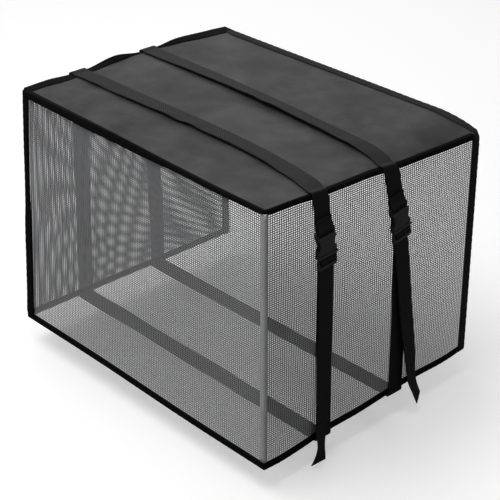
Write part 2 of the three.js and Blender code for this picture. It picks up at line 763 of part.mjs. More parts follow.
// Socket half: a flat sleeve, waisted where the prongs are pressed, with its webbing bar on top
function socketGeometry() {
  const w = BUCKLE.halfWidth;
  const shape = new THREE.Shape();
  const waist = 3.4;
  shape.moveTo(-w + 1, BUCKLE.bodyFoot);
  shape.lineTo(w - 1, BUCKLE.bodyFoot);
  shape.lineTo(w, BUCKLE.bodyFoot + 3);
  shape.quadraticCurveTo(w - 2 * waist, (BUCKLE.bodyTop + BUCKLE.bodyFoot) / 2, w - 1, BUCKLE.bodyTop - 3);
  shape.lineTo(w - 2, BUCKLE.bodyTop);
  shape.lineTo(-w + 2, BUCKLE.bodyTop);
  shape.lineTo(-w + 1, BUCKLE.bodyTop - 3);
  shape.quadraticCurveTo(-w + 2 * waist, (BUCKLE.bodyTop + BUCKLE.bodyFoot) / 2, -w, BUCKLE.bodyFoot + 3);
  const body = solidOf(plate(shape, BUCKLE.bodyLow, BUCKLE.bodyHigh, 1));
  const frame = roundedBar(-w, w, BUCKLE.bodyTop - 2, 0, 2);
  const slot = roundedBar(-BUCKLE.slotHalf, BUCKLE.slotHalf, -BUCKLE.bar - BUCKLE.slot, -BUCKLE.bar, 0.8);
  frame.holes.push(slot);
  const ring = solidOf(plate(frame, BUCKLE.barLow, BUCKLE.barHigh));
  const hollow = new THREE.BoxGeometry(2 * PRONG.reach + 1, PRONG.length + 2, PRONG.high - PRONG.low + 1);
  hollow.translate(0, BUCKLE.bodyFoot + PRONG.length / 2, (PRONG.high + PRONG.low) / 2);
  return geometryOf(body.add(ring).subtract(solidOf(hollow)));
}

// Plug half: a cross bar with two sprung prongs, and a frame with the gripping bar
const PRONG = { low: 3, high: 7.4, length: 18, reach: 10.6, wide: 3 };
const PLUG = {
  clear: 0.6, // between the closed halves
  cross: 4, // its cross bar, along the strap
  raise: 2.2, // its frame stands above two layers of webbing
  gripDown: 8, // from its top to the gripping bar
  slotAbove: 3.8,
  slotBelow: 4.8,
};
function plugGeometry() {
  const w = BUCKLE.halfWidth;
  const top = BUCKLE.bodyFoot - PLUG.clear;
  const frame = roundedBar(-w, w, -BUCKLE.length, top, 2.5);
  const grip = {
    high: top - PLUG.gripDown,
    low: top - PLUG.gripDown - BUCKLE.bar,
    behind: BUCKLE.barLow + PLUG.raise,
    front: BUCKLE.barHigh + PLUG.raise,
  };
  frame.holes.push(
    roundedBar(-BUCKLE.slotHalf, BUCKLE.slotHalf, grip.high, grip.high + PLUG.slotAbove, 0.8),
    roundedBar(-BUCKLE.slotHalf, BUCKLE.slotHalf, grip.low - PLUG.slotBelow, grip.low, 0.8),
  );
  const ladder = solidOf(plate(frame, grip.behind, grip.front));
  const crossBar = roundedBar(-w, w, top - PLUG.cross, top, 1.2);
  const cross = solidOf(plate(crossBar, BUCKLE.bodyLow + 0.8, BUCKLE.bodyHigh - 0.4));
  let plug = ladder.add(cross);
  for (const side of [-1, 1]) {
    const prong = new THREE.Shape();
    prong.moveTo(side * (PRONG.reach - PRONG.wide), top - 1);
    prong.lineTo(side * PRONG.reach, top - 1);
    prong.lineTo(side * PRONG.reach, top + PRONG.length - 4);
    prong.lineTo(side * (PRONG.reach - PRONG.wide), top + PRONG.length - 1);
    plug = plug.add(solidOf(plate(prong, PRONG.low, PRONG.high)));
  }
  return { geometry: geometryOf(plug), grip };
}

// Webbing: one length for each strap. From the end sewn at the socket it goes up the right
// wall, over the top, down the left wall, under the hems, up to the plug and out as the tail.
const UNDER_HEM = 3.3; // middle of the webbing below the hems
const OVER_TAPE = TAPE_OFF + TAPE + WEB_LIFT + 0.2;
const OVER_HEM = TAPE_IN + TAPE + WEB_LIFT + 0.2;
const WALL_CLEAR = 0.35; // more lift where the right wall is uneven
const TAPE_CLEAR = 0.3; // more lift over the right seam's tape, which slopes under a strap
const BELOW_TAPE = 3.5; // from that tape's foot to where a strap starts to lean in to the wall
const BEND = 1.27; // from a bar's corner to the middle of the webbing bent round it

function onRight(strap, z, off) {
  const y = strapRightY(strap, z);
  return new THREE.Vector3(rightX(y, z) + off, y, z);
}

// Where a buckle lies on the right wall: its top end, and the ways up, outwards and across
function buckleSeat(strap) {
  const origin = onRight(strap, strap.buckleTop, 0);
  const up = origin.clone().sub(onRight(strap, strap.buckleTop - BUCKLE.length, 0)).normalize();
  const out = new THREE.Vector3(1, 0, 0).addScaledVector(up, -up.x).normalize();
  return { origin, up, out, side: up.clone().cross(out) };
}

// Place on the bend round a bar's corner, in degrees from straight up the strap
function bend(at, off, degrees) {
  const angle = THREE.MathUtils.degToRad(degrees);
  return { at: at + BEND * Math.cos(angle), off: off + BEND * Math.sin(angle) };
}

// Sewn end: outside the strap, down to the socket bar, round it and back up against the wall
function sewnEnd() {
  const sewn = WEB_LIFT + WEB_THICK + GAP;
  return [
    { at: 15, off: sewn },
    { at: 9, off: sewn },
    { at: 4, off: sewn + 1.5 },
    bend(0, BUCKLE.barHigh, 70),
    bend(-BUCKLE.bar, BUCKLE.barHigh, 110),
    bend(-BUCKLE.bar, BUCKLE.barHigh, 160),
    bend(-BUCKLE.bar, BUCKLE.barLow, 200),
    { at: -BUCKLE.bar - 0.7, off: WEB_LIFT },
    { at: 6, off: WEB_LIFT },
    { at: 20, off: WEB_LIFT },
  ];
}

// At the plug: up behind both bars, round the gripping bar and back out behind the end bar
function ladderTurn(grip) {
  return [
    { at: -BUCKLE.length - 9, off: WEB_LIFT },
    { at: grip.low - 1, off: WEB_LIFT + 0.1 },
    { at: grip.high - 1.2, off: WEB_LIFT + 0.8 },
    bend(grip.high, grip.behind, -60),
    bend(grip.high, grip.behind, -10),
    bend(grip.high, grip.front, 15),
    bend(grip.high, grip.front, 70),
    bend(grip.low, grip.front, 110),
    bend(grip.low, grip.front, 165),
    { at: grip.low - 1.6, off: grip.behind + 1.6 },
    { at: grip.low - 2.8, off: grip.behind - 0.2 },
    { at: grip.low - 4.4, off: grip.behind - 1.15 },
    { at: -BUCKLE.length, off: grip.behind - 1.25 },
  ];
}

// Over the top, from the right wall to the left one, across both seam tapes
const FROM_RIGHT = [2.4, 6, 11, 17, 25, 36, 50, 70, 100, 135, 170, 210, 250, 290, 330, 370, 410, 440, 458];
const OVER_LEFT_TAPE = [
  { out: -5, up: -0.7 },
  { out: -1, up: 0.1 },
  { out: 3.1, up: 0.1 },
  { out: 4.5, up: -0.5 },
  { out: 5.1, up: -1.4 },
];
// Slope across the webbing at y, where heightAt gives the height under it
function slopeAcross(heightAt, y) {
  return (heightAt(y + WEBBING / 2) - heightAt(y - WEBBING / 2)) / WEBBING;
}

function overTop(strap) {
  const rightY = strap.run[0].y;
  const rightShare = (rightY + HALF_D) / DEPTH;
  const seamSlope = slopeAcross((y) => along(RIGHT_SEAM, (y + HALF_D) / DEPTH), rightY);
  const seam = along(RIGHT_SEAM, rightShare);
  const right = rightX(rightY, seam);
  const tapeTop = seam + TAPE_TOP + TAPE_CLEAR + along(RIGHT_TAPE_RISE, rightShare);
  const tapeFoot = seam - RIGHT_TAPE_DROP[0].by;
  const overRight = [
    onRight(strap, tapeFoot - BELOW_TAPE, OVER_TAPE - 0.2),
    onRight(strap, seam - 4, OVER_TAPE),
    new THREE.Vector3(right + OVER_TAPE + 0.4, rightY, tapeTop + 0.7),
    new THREE.Vector3(right + OVER_TAPE, rightY, tapeTop + 1.9),
    new THREE.Vector3(right + OVER_TAPE - 1.2, rightY, tapeTop + WEB_LIFT + 1.1),
  ];
  const onTop = FROM_RIGHT.map((fromRight) => {
    const x = right - fromRight;
    const y = strapTopY(strap, x);
    const s = (x + HALF_W) / WIDTH;
    const z = topZ(x, y) + SHEET + WEB_LIFT + 0.2 + along(strap.top, s, 'at', 'lift');
    const slope = slopeAcross((across) => topZ(x, across), y);
    return { p: new THREE.Vector3(x, y, z), slope, turn: along(strap.top, s, 'at', 'turn') };
  });
  const leftY = strap.top[0].y;
  const left = leftX(leftY, 0);
  const overTape = SHEET + along(LEFT_TAPE_RISE, (leftY + HALF_D) / DEPTH) + WEB_LIFT;
  const overLeft = OVER_LEFT_TAPE.map((row) => new THREE.Vector3(left - row.out, leftY, overTape + row.up));
  const crossing = overRight.map((p) => ({ p, slope: seamSlope }));
  return [...crossing, ...onTop, ...overLeft.map((p) => ({ p }))];
}

// Down the left wall and under both hems to the foot of the right wall
function roundBelow(strap) {
  const share = (strap.underY + HALF_D) / DEPTH;
  const leftFoot = leftPoint(share, 1, 0).z - UNDER_HEM;
  const rightFoot = rightPoint(share, 1, 0).z - UNDER_HEM;
  const leftAt = (z, off) => {
    const y = strapLeftY(strap, z);
    return new THREE.Vector3(leftX(y, z) - off, y, z);
  };
  const under = (x, z) => new THREE.Vector3(x, strap.underY, z);
  const left = leftX(strap.underY, leftFoot);
  const right = rightX(strap.underY, rightFoot);
  return [
    leftAt(-1.5, OVER_TAPE + 0.2),
    leftAt(-7.5, OVER_TAPE),
    leftAt(-12, OVER_TAPE - 1),
    leftAt(-18, WEB_LIFT),
    ...[-70, -130, -190, -250, -300, -318].map((z) => leftAt(z, WEB_LIFT)),
    leftAt(-325, OVER_HEM),
    leftAt(leftFoot + 3, OVER_HEM),
    under(left - OVER_HEM + 0.7, leftFoot + 0.8),
    under(left - OVER_HEM + 2.6, leftFoot),
    under(0, mix(leftFoot, rightFoot, 0.5)),
    under(right + OVER_HEM - 2.6, rightFoot),
    under(right + OVER_HEM - 0.7, rightFoot + 0.8),
    onRight(strap, rightFoot + 3, OVER_HEM),
    onRight(strap, -325, OVER_HEM),
    ...[-318, -285, -250, -210, -170].map((z) => onRight(strap, z, WEB_LIFT + WALL_CLEAR)),
  ];
}

// The free tail, standing off the wall and turning as it hangs
const END_SQUARE = 0.45; // the free end is cut on the slant
function tailEnd(strap) {
  const rows = strap.tail;
  return steps(30, (f) => {
    const z = mix(rows[0].z, rows[rows.length - 1].z, f);
    const wall = onRight(strap, Math.max(z, -HEIGHT), along(rows, z, 'z', 'off'));
    const p = new THREE.Vector3(wall.x, along(rows, z, 'z', 'y'), z);
    return { p, turn: along(rows, z, 'z', 'turn'), square: mix(1, END_SQUARE, smooth(4 * f - 3)) };
  });
}

function strapStations(strap, seat, grip) {
  const onBuckle = (row) => ({
    p: seat.origin.clone().addScaledVector(seat.up, row.at).addScaledVector(seat.out, row.off),
    side: seat.side,
  });
  const route = [
    ...sewnEnd().map(onBuckle),
    ...overTop(strap),
    ...roundBelow(strap).map((p) => ({ p })),
    ...ladderTurn(grip).map(onBuckle),
    ...tailEnd(strap),
  ];
  return route.map((station, i) => {
    const before = route[Math.max(0, i - 1)].p;
    const after = route[Math.min(route.length - 1, i + 1)].p;
    const ahead = after.clone().sub(before).normalize();
    const across = new THREE.Vector3(0, 1, station.slope ?? 0);
    across.addScaledVector(ahead, -across.dot(ahead) * (station.square ?? 1)).normalize();
    const side = station.side ?? across.applyAxisAngle(ahead, THREE.MathUtils.degToRad(station.turn ?? 0));
    return {
      a: station.p.clone().addScaledVector(side, -WEBBING / 2),
      b: station.p.clone().addScaledVector(side, WEBBING / 2),
    };
  });
}

for (const strap of STRAPS) {
  const seat = buckleSeat(strap);
  const { geometry: plug, grip } = plugGeometry();
  const webbing = band(strapStations(strap, seat, grip), -WEB_THICK / 2, WEB_THICK / 2);
  add(`${strap.name}_strap`, webbing, WEB);
  const buckle = new THREE.Group();
  buckle.setRotationFromMatrix(new THREE.Matrix4().makeBasis(seat.side, seat.up, seat.out));
  buckle.position.copy(seat.origin);
  cover.add(buckle);
  add(`${strap.name}_buckle_socket`, socketGeometry(), PLASTIC, buckle);
  add(`${strap.name}_buckle_plug`, plug, PLASTIC, buckle);
}

export default cover;
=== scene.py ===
"""Fitted outdoor cover for a window air conditioner: coated cloth top, net walls, bound seams
and two buckled webbing straps. Metres, +Z up, +X along the front, +Y towards the open back."""

import math

import bmesh
import bpy
import numpy as np
from mathutils import Matrix, Vector


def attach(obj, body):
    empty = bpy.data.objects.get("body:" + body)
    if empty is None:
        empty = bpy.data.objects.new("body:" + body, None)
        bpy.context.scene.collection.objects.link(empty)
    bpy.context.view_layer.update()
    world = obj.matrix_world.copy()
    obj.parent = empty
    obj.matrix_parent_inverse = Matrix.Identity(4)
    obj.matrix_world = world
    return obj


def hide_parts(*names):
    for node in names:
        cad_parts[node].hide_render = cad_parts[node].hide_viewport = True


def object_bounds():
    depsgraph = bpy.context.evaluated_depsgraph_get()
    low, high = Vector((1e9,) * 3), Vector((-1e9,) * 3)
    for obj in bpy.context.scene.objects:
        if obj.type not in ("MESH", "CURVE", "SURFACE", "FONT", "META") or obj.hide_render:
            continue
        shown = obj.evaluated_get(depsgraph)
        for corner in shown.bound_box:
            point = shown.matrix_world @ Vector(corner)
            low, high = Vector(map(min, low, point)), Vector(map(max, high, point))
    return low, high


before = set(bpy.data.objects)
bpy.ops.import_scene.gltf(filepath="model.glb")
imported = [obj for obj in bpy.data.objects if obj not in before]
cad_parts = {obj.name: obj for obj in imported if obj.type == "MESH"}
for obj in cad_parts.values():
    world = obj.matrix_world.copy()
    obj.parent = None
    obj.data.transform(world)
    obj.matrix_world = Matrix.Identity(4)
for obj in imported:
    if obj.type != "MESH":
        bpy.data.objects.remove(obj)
CAD_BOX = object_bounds()

# Camera, at the photograph's viewing angle
CAMERA_AT = Vector((1.3064, -1.2022, 0.7534))
CAMERA_TURN = math.radians(47.15)
CAMERA_DOWN = math.radians(28.39)
lens = bpy.data.cameras.new("photo_camera")
lens.lens = 108.83
lens.sensor_width = 36
lens.clip_end = 50
camera = bpy.data.objects.new("photo_camera", lens)
camera.location = CAMERA_AT
camera.rotation_euler = (math.pi / 2 - CAMERA_DOWN, 0, CAMERA_TURN)
bpy.context.scene.collection.objects.link(camera)
bpy.context.scene.camera = camera

# Sizes in millimetres, as the solids have them
WIDTH, DEPTH, HEIGHT = 472.0, 370.0, 338.0
HALF_W, HALF_D = WIDTH / 2, DEPTH / 2
SHEET = 1.2
GAP = 0.4
TAPE = 2.4
TAPE_OFF = 0.6
TAPE_IN = -1.8
HEM_TAPE = 10.0
EDGE_GAP = 0.7
BACK_TAPE_TOP, BACK_TAPE_SIDE = 17.0, 12.5
LEFT_TAPE = 8.0
CORNER_IN, CORNER_OFF = 0.5, 0.6
WEBBING, WEB_THICK = 25.0, 1.5
WEB_LIFT = 0.6 + WEB_THICK / 2
WEB_CLEAR = 0.2
MM = 0.001

# Corners: x, y, how far the sewn corner sits from them at the top and at the foot, its hem's height
CORNERS = {
    "leftFront": (-HALF_W, -HALF_D, 2, 11, -5, -6, 0),
    "rightFront": (HALF_W, -HALF_D, -1, -1, 3, -4, -5),
    "rightBack": (HALF_W, HALF_D, -1, -2, -5, 5, 5),
    "leftBack": (-HALF_W, HALF_D, 5, -8, -3, 2, 1),
}
# Place along each seam or hem, and value there
RIGHT_SEAM = [
    (0, 3), (0.07, 2.4), (0.14, 1.2), (0.2, -1), (0.3, -2.8), (0.38, -3.8), (0.44, -4.2), (0.5, -6),
    (0.56, -8.5), (0.62, -10), (0.74, -11.5), (0.8, -12.7), (0.86, -13.6), (1, -15),
]
FRONT_SEAM = [(0, 0), (0.3, 1.5), (0.43, 2), (0.6, 1.1), (0.7, 1.3), (0.8, 1.5), (0.9, 2.4), (1, 3)]
BACK_SEAM = [(0, 0), (0.25, -1.5), (0.6, -2.5), (0.88, -3), (1, 0)]
LEFT_BOW = [
    (0, 0), (0.12, 1), (0.2, 1), (0.29, 1), (0.43, 4.5), (0.55, 3.5), (0.65, 3.5), (0.8, 4), (1, 0),
]
LEFT_RISE = [
    (0, 3), (0.12, 3.5), (0.2, 1.6), (0.3, 1.6), (0.44, 6.5), (0.55, 1.6), (0.65, 1.6), (0.74, 4.5),
    (0.86, 3), (1, 1),
]
FRONT_DROP = [
    (0, 6.1), (0.1, 6.6), (0.2, 7.4), (0.34, 8.2), (0.45, 7.6), (0.53, 6.6), (0.6, 5.4), (0.72, 4),
    (0.82, 4.7), (0.9, 4.4), (1, 3.3),
]
FRONT_RISE = [(0, 1), (0.2, 1.3), (0.33, 1.7), (0.45, 2.5), (0.62, 1.6), (0.8, 0.6), (1, 0.6)]
RIGHT_DROP = 4.9
RIGHT_RISE = [(0, 0.6), (0.3, 0.2), (0.6, 0.2), (0.85, 1.2), (1, 1)]
FRONT_HEM = [(0, 0), (0.35, 1), (0.7, -1), (1, 0)]
RIGHT_HEM = [
    (0, 0), (0.07, -2.5), (0.17, -2), (0.3, 0.5), (0.45, -1.5), (0.7, 0), (0.88, -4), (1, -2),
]
CORNER_WIDTH = [(0, 9.6), (0.3, 10), (0.5, 12), (0.64, 14), (1, 14.4)]
CORNER_WAVE = [(0.03, 0.6), (0.2, 0.2), (0.42, -0.9), (0.56, 0.7), (0.72, 0), (0.88, -0.4), (1, 0.4)]

# Width of each tape's flap on the top
LEFT_FLAP = [
    (0, 11), (0.04, 12), (0.1, 13), (0.16, 15), (0.25, 11), (0.34, 10), (0.4, 8), (0.46, 7),
    (0.52, 2.5), (0.64, 3), (0.7, 7), (0.76, 10), (0.82, 15), (0.88, 17), (0.94, 20), (1, 14),
]
FRONT_FLAP = [(0, 5), (0.1, 3.5), (0.4, 2.5), (0.7, 2.2), (0.85, 1.4), (1, 1.2)]
RIGHT_FLAP = [
    (0, 0.5), (0.15, 0.5), (0.25, 1.5), (0.38, 2), (0.5, 1.5), (0.6, 0.8), (0.74, 0.4), (0.84, 1.2),
    (1, 2),
]

# Straps. top: share from the left edge, y, lift, turn. run: height, y. tail: height, y, off, turn
STRAPS = {
    "front": {
        "under": -88,
        "buckle": -49,
        "top": [
            (0, -85, 0, 0), (0.2, -88.5, 0.2, 1), (0.4, -90.3, 0.8, 4), (0.6, -89, 1, 5),
            (0.75, -90, 1, 5), (0.85, -94, 0.5, 2), (0.93, -98.5, 0, 0), (0.97, -102, 0, 0),
            (1, -106, 0, 0),
        ],
        "run": [(-340, -88), (-215, -90), (-100, -91.5), (-50, -95.5), (-22, -99.5), (0, -106)],
        "tail": [
            (-371, -102, 8.5, 0), (-354, -100.5, 10, -20), (-341, -98, 9, -25), (-328, -97, 7.5, -15),
            (-290, -94, 5.5, -6), (-225, -91.5, 3.8, 0), (-165, -91.5, 4.6, -3), (-106, -91.5, 3.4, 0),
        ],
    },
    "rear": {
        "under": 46,
        "buckle": -60.5,
        "top": [
            (0, 37, 0, 0), (0.12, 34.5, 0.2, 1), (0.3, 32, 1.4, 6), (0.5, 28, 2, 9),
            (0.75, 21.5, 2, 9), (0.9, 17.5, 1, 4), (0.96, 14.5, 0.2, 0), (1, 11.5, 0, 0),
        ],
        "run": [(-340, 46), (-200, 44), (-111, 39.5), (-62, 30), (-32, 22.5), (0, 11.5)],
        "tail": [
            (-358, 82, 12, -34), (-338, 73, 12, -32), (-317, 66, 11.5, -20), (-288, 63, 10, -12),
            (-255, 58, 9, -8), (-210, 52, 7, -4), (-165, 46.5, 5.5, -2), (-118, 40.8, 3.4, 0),
        ],
    },
}

# Soft swellings: place on the face, reach each way, and height outwards
TOP_CROWN = [(-20, -75, 190, 120, 5)]
TOP_SWELLS = [
    (-150, -140, 90, 32, 1.6), (60, -140, 110, 30, 1.4), (-130, -24, 90, 34, 2.2),
    (70, -38, 100, 30, 1.8), (-120, 110, 100, 40, 2), (90, 105, 110, 45, 1.6),
]
RIGHT_SWELLS = [
    (-142, -75, 22, 60, 2), (-132, -170, 12, 34, 3), (-116, -225, 12, 40, 3.5),
    (-50, -140, 12, 34, 2.5), (-20, -60, 26, 50, 2), (-30, -250, 34, 50, 2),
    (95, -90, 30, 60, 1.5), (130, -250, 34, 60, 2.2),
]
FRONT_SWELLS = [(-150, -90, 70, 70, 1.2), (20, -170, 110, 90, 1.6), (170, -240, 50, 80, 1.2)]
LEFT_SWELLS = [(-135, -150, 24, 80, 2.5), (-25, -120, 36, 70, 3), (110, -200, 44, 90, 3)]
# Creases left by packing: both ends on the face, half width and depth
RIGHT_CREASES = [
    (-178, -168, -101, -166, 14, -1.6), (-59, -99, -4, -147, 14, -2),
    (-2, -192, -152, -303, 16, -2.2), (62, -174, 150, -170, 14, -1.6),
]
FRONT_CREASES = [(-225, -169, -60, -170, 14, -1), (60, -170, 225, -168, 14, -1)]


# Interpolation, on arrays of places
def smooth(f):
    t = np.clip(f, 0, 1)
    return t * t * (3 - 2 * t)


def mix(a, b, f):
    return a + (b - a) * f


def along(table, place, column=1):
    """Value of a table's column at each place, with a slope that runs on through its rows."""
    at = np.array([row[0] for row in table], float)
    value = np.array([row[column] for row in table], float)
    place = np.clip(np.asarray(place, float), at[0], at[-1])
    i = np.clip(np.searchsorted(at, place, side="right") - 1, 0, len(at) - 2)
    low = np.maximum(np.arange(len(at)) - 1, 0)
    high = np.minimum(np.arange(len(at)) + 1, len(at) - 1)
    slope = (value[high] - value[low]) / (at[high] - at[low])
    span = at[i + 1] - at[i]
    f = (place - at[i]) / span
    rise = value[i + 1] - value[i]
    inner = f * (1 - f) * ((1 - f) * (slope[i] * span - rise) - f * (slope[i + 1] * span - rise))
    return value[i] + rise * f + inner


def swell(table, x, y):
    return sum(
        by * np.exp(-((x - cx) / rx) ** 2 - ((y - cy) / ry) ** 2) for cx, cy, rx, ry, by in table
    )


def crease(table, x, y):
    total = 0 * (x + y)
    for x0, y0, x1, y1, half, by in table:
        dx, dy = x1 - x0, y1 - y0
        f = np.clip(((x - x0) * dx + (y - y0) * dy) / (dx * dx + dy * dy), 0, 1)
        away = np.hypot(x - x0 - f * dx, y - y0 - f * dy)
        total = total + by * np.exp(-((away / half) ** 2))
    return total


STRAP_HOLDS, STRAP_FADE = 16, 26


def free_of_straps(y, lines):
    """Nought under a strap, which holds the cloth down, rising to one away from it."""
    least = 1 + 0 * y
    for line in lines:
        least = np.minimum(least, smooth((np.abs(y - line) - STRAP_HOLDS) / STRAP_FADE))
    return least


def inside_span(place, low, high, margin=30):
    """One inside a span, easing to nought at its ends."""
    return smooth((place - low) / margin) * smooth((high - place) / margin)


def corner_line(name, z):
    x, y, top_x, top_y, foot_x, foot_y, _ = CORNERS[name]
    f = -z / HEIGHT
    return x + mix(top_x, foot_x, f), y + mix(top_y, foot_y, f)


# Faces of the cover: how far each seam's rise or sag reaches over the top
RIGHT_REACH = (14, 72)
FRONT_REACH = 30
BACK_REACH = 60
# Towards the back the right wall tucks in under its seam: how far, and how far down
BACK_TUCK, TUCK_LOW = 6, 30


def top_z(x, y):
    s = (x + HALF_W) / WIDTH
    t = np.clip((y + HALF_D) / DEPTH, 0, 1)
    front = mix(corner_line("leftFront", 0)[1], corner_line("rightFront", 0)[1], s)
    reach = mix(*RIGHT_REACH, smooth(t * 1.2 - 0.1))
    to_right = np.maximum(0, 1 - (HALF_W - x) / reach)
    to_front = np.maximum(0, 1 - (y - front) / FRONT_REACH)
    to_back = np.maximum(0, 1 - (HALF_D - y) / BACK_REACH)
    edges = along(RIGHT_SEAM, t) * to_right**2 * (1 - to_front**2)
    edges = edges + along(FRONT_SEAM, s) * to_front**2
    edges = edges + along(BACK_SEAM, s) * to_back**2
    inner = inside_span(x, -HALF_W, HALF_W) * inside_span(y, -HALF_D, HALF_D)
    lines = [along(strap["top"], s) for strap in STRAPS.values()]
    soft = swell(TOP_SWELLS, x, y) * inner * free_of_straps(y, lines)
    return edges + swell(TOP_CROWN, x, y) * inner + soft


def right_x(y, z):
    near_x, near_y = corner_line("rightFront", z)
    far_x, far_y = corner_line("rightBack", z)
    t = (y - near_y) / (far_y - near_y)
    tuck = -BACK_TUCK * smooth(t * 1.4 - 0.4) * np.maximum(0, 1 + z / TUCK_LOW) ** 2
    lines = [along(strap["run"], z) for strap in STRAPS.values()]
    inner = inside_span(-z, 0, HEIGHT) * inside_span(y, near_y, far_y)
    soft = swell(RIGHT_SWELLS, y, z) + crease(RIGHT_CREASES, y, z)
    return mix(near_x, far_x, t) + tuck + soft * inner * free_of_straps(y, lines)


def left_x(y, z):
    near_x, near_y = corner_line("leftFront", z)
    far_x, far_y = corner_line("leftBack", z)
    t = (y - near_y) / (far_y - near_y)
    bow = -along(LEFT_BOW, t) * (1 + z / HEIGHT)
    lines = [mix(strap["top"][0][1], strap["under"], -z / HEIGHT) for strap in STRAPS.values()]
    inner = inside_span(-z, 0, HEIGHT) * inside_span(y, near_y, far_y)
    soft = swell(LEFT_SWELLS, y, z) * inner * free_of_straps(y, lines)
    return mix(near_x, far_x, t) + bow - soft


def front_y(x, z):
    left_x0, left_y = corner_line("leftFront", z)
    right_x0, right_y = corner_line("rightFront", z)
    t = (x - left_x0) / (right_x0 - left_x0)
    inner = inside_span(-z, 0, HEIGHT) * inside_span(x, left_x0, right_x0)
    soft = swell(FRONT_SWELLS, x, z) + crease(FRONT_CREASES, x, z)
    return mix(left_y, right_y, t) - soft * inner


def front_point(t, share, off=0.0):
    """Place along the wall, share of the way from its seam to its hem, millimetres out."""
    hem = mix(CORNERS["leftFront"][6], CORNERS["rightFront"][6], t) + along(FRONT_HEM, t)
    z = mix(along(FRONT_SEAM, t), -HEIGHT + hem, share)
    x = mix(corner_line("leftFront", z)[0], corner_line("rightFront", z)[0], t)
    return np.stack(np.broadcast_arrays(x, front_y(x, z) - off, z), -1)


def right_point(t, share, off=0.0):
    hem = mix(CORNERS["rightFront"][6], CORNERS["rightBack"][6], t) + along(RIGHT_HEM, t)
    z = mix(along(RIGHT_SEAM, t), -HEIGHT + hem, share)
    y = mix(corner_line("rightFront", z)[1], corner_line("rightBack", z)[1], t)
    return np.stack(np.broadcast_arrays(right_x(y, z) + off, y, z), -1)


def left_point(t, share, off=0.0):
    hem = mix(CORNERS["leftFront"][6], CORNERS["leftBack"][6], t)
    z = mix(0, -HEIGHT + hem, share)
    y = mix(corner_line("leftFront", z)[1], corner_line("leftBack", z)[1], t)
    return np.stack(np.broadcast_arrays(left_x(y, z) - off, y, z), -1)


def top_point(s, t, off=0.0):
    front = mix(corner_line("leftFront", 0)[1], corner_line("rightFront", 0)[1], s)
    back = mix(corner_line("leftBack", 0)[1], corner_line("rightBack", 0)[1], s)
    y = mix(front, back, t)
    x = mix(left_x(y, 0 * y), right_x(y, along(RIGHT_SEAM, t)), s)
    return np.stack(np.broadcast_arrays(x, y, top_z(x, y) + off), -1)


BACK_ENDS = (0.008, 0.992)


def over_back(s):
    """One along the back of the top, easing to nought where its tape turns down the walls."""
    return inside_span(s, *BACK_ENDS, 0.07)


def back_tape_width(s):
    return mix(BACK_TAPE_SIDE, BACK_TAPE_TOP, over_back(s))


HEM_SHARE = 1 - (HEM_TAPE + EDGE_GAP) / HEIGHT
ABOVE_HEM = HEM_SHARE - 0.001
BACK_SHARE = 1 - (BACK_TAPE_SIDE + EDGE_GAP) / DEPTH
BEFORE_BACK = BACK_SHARE - 0.002
SEAM_SHARE = 0.8 / HEIGHT
CORNER_SHARE = (SHEET + GAP) / DEPTH


# Objects
def finish_mesh(bm, name):
    mesh = bpy.data.meshes.new(name)
    bm.to_mesh(mesh)
    bm.free()
    mesh.polygons.foreach_set("use_smooth", [True] * len(mesh.polygons))
    piece = bpy.data.objects.new(name, mesh)
    bpy.context.scene.collection.objects.link(piece)
    return piece


def flat_places(mesh):
    """The flat coordinates of every vertex of a mesh that still lies in its own plane."""
    flat = np.empty(len(mesh.vertices) * 3, np.float32)
    mesh.vertices.foreach_get("co", flat)
    flat = flat.reshape(-1, 3).astype(float)
    return flat[:, 0], flat[:, 1]


def place_points(mesh, points):
    """Moves every vertex of a mesh to a place given in millimetres."""
    mesh.vertices.foreach_set("co", (points * MM).astype(np.float32).ravel())
    mesh.update()


def flat_grid(name, columns, rows):
    bm = bmesh.new()
    bm.loops.layers.uv.new("UVMap")
    bmesh.ops.create_grid(bm, x_segments=columns, y_segments=rows, size=0.5, calc_uvs=True)
    return finish_mesh(bm, name)


def scale_uv(mesh, across, up):
    """Makes the map's unit one metre, so that a weave keeps its real pitch."""
    layer = mesh.uv_layers[0].data
    flat = np.empty(len(layer) * 2, np.float32)
    layer.foreach_get("uv", flat)
    flat = flat.reshape(-1, 2) * np.array([across, up], np.float32) * MM
    layer.foreach_set("uv", flat.ravel())


def recalculated(piece, merge=0.0, caps=False):
    """Merges a mesh's doubled vertices, closes its open ends and turns its faces outwards."""
    bm = bmesh.new()
    bm.from_mesh(piece.data)
    if merge:
        bmesh.ops.remove_doubles(bm, verts=bm.verts[:], dist=merge * MM)
    if caps:
        rims = [edge for edge in bm.edges if edge.is_boundary]
        bmesh.ops.holes_fill(bm, edges=rims, sides=0)
    bmesh.ops.recalc_face_normals(bm, faces=bm.faces[:])
    bm.to_mesh(piece.data)
    bm.free()
    return piece


def thicken(piece, thickness):
    shell = piece.modifiers.new("thickness", "SOLIDIFY")
    shell.thickness = thickness * MM
    shell.offset = -1


# Net: a lattice of flat threads round open cells
NET_THREAD_WIDE = 1.52


def net_sheet(name, wide, high, columns, rows, surface):
    bm = bmesh.new()
    bmesh.ops.create_grid(bm, x_segments=columns, y_segments=rows, size=0.5)
    bmesh.ops.scale(bm, verts=bm.verts[:], vec=(wide, high, 1))
    cells = bm.faces[:]
    bmesh.ops.inset_individual(bm, faces=cells, thickness=NET_THREAD_WIDE / 2, use_even_offset=True)
    rim = bm.verts.layers.float.new("rim")
    for face in cells:
        for vert in face.verts:
            vert[rim] = 1.0
    bmesh.ops.delete(bm, geom=cells, context="FACES_ONLY")
    piece = finish_mesh(bm, name)
    x, y = flat_places(piece.data)
    place_points(piece.data, surface(x / wide + 0.5, y / high + 0.5))
    return piece


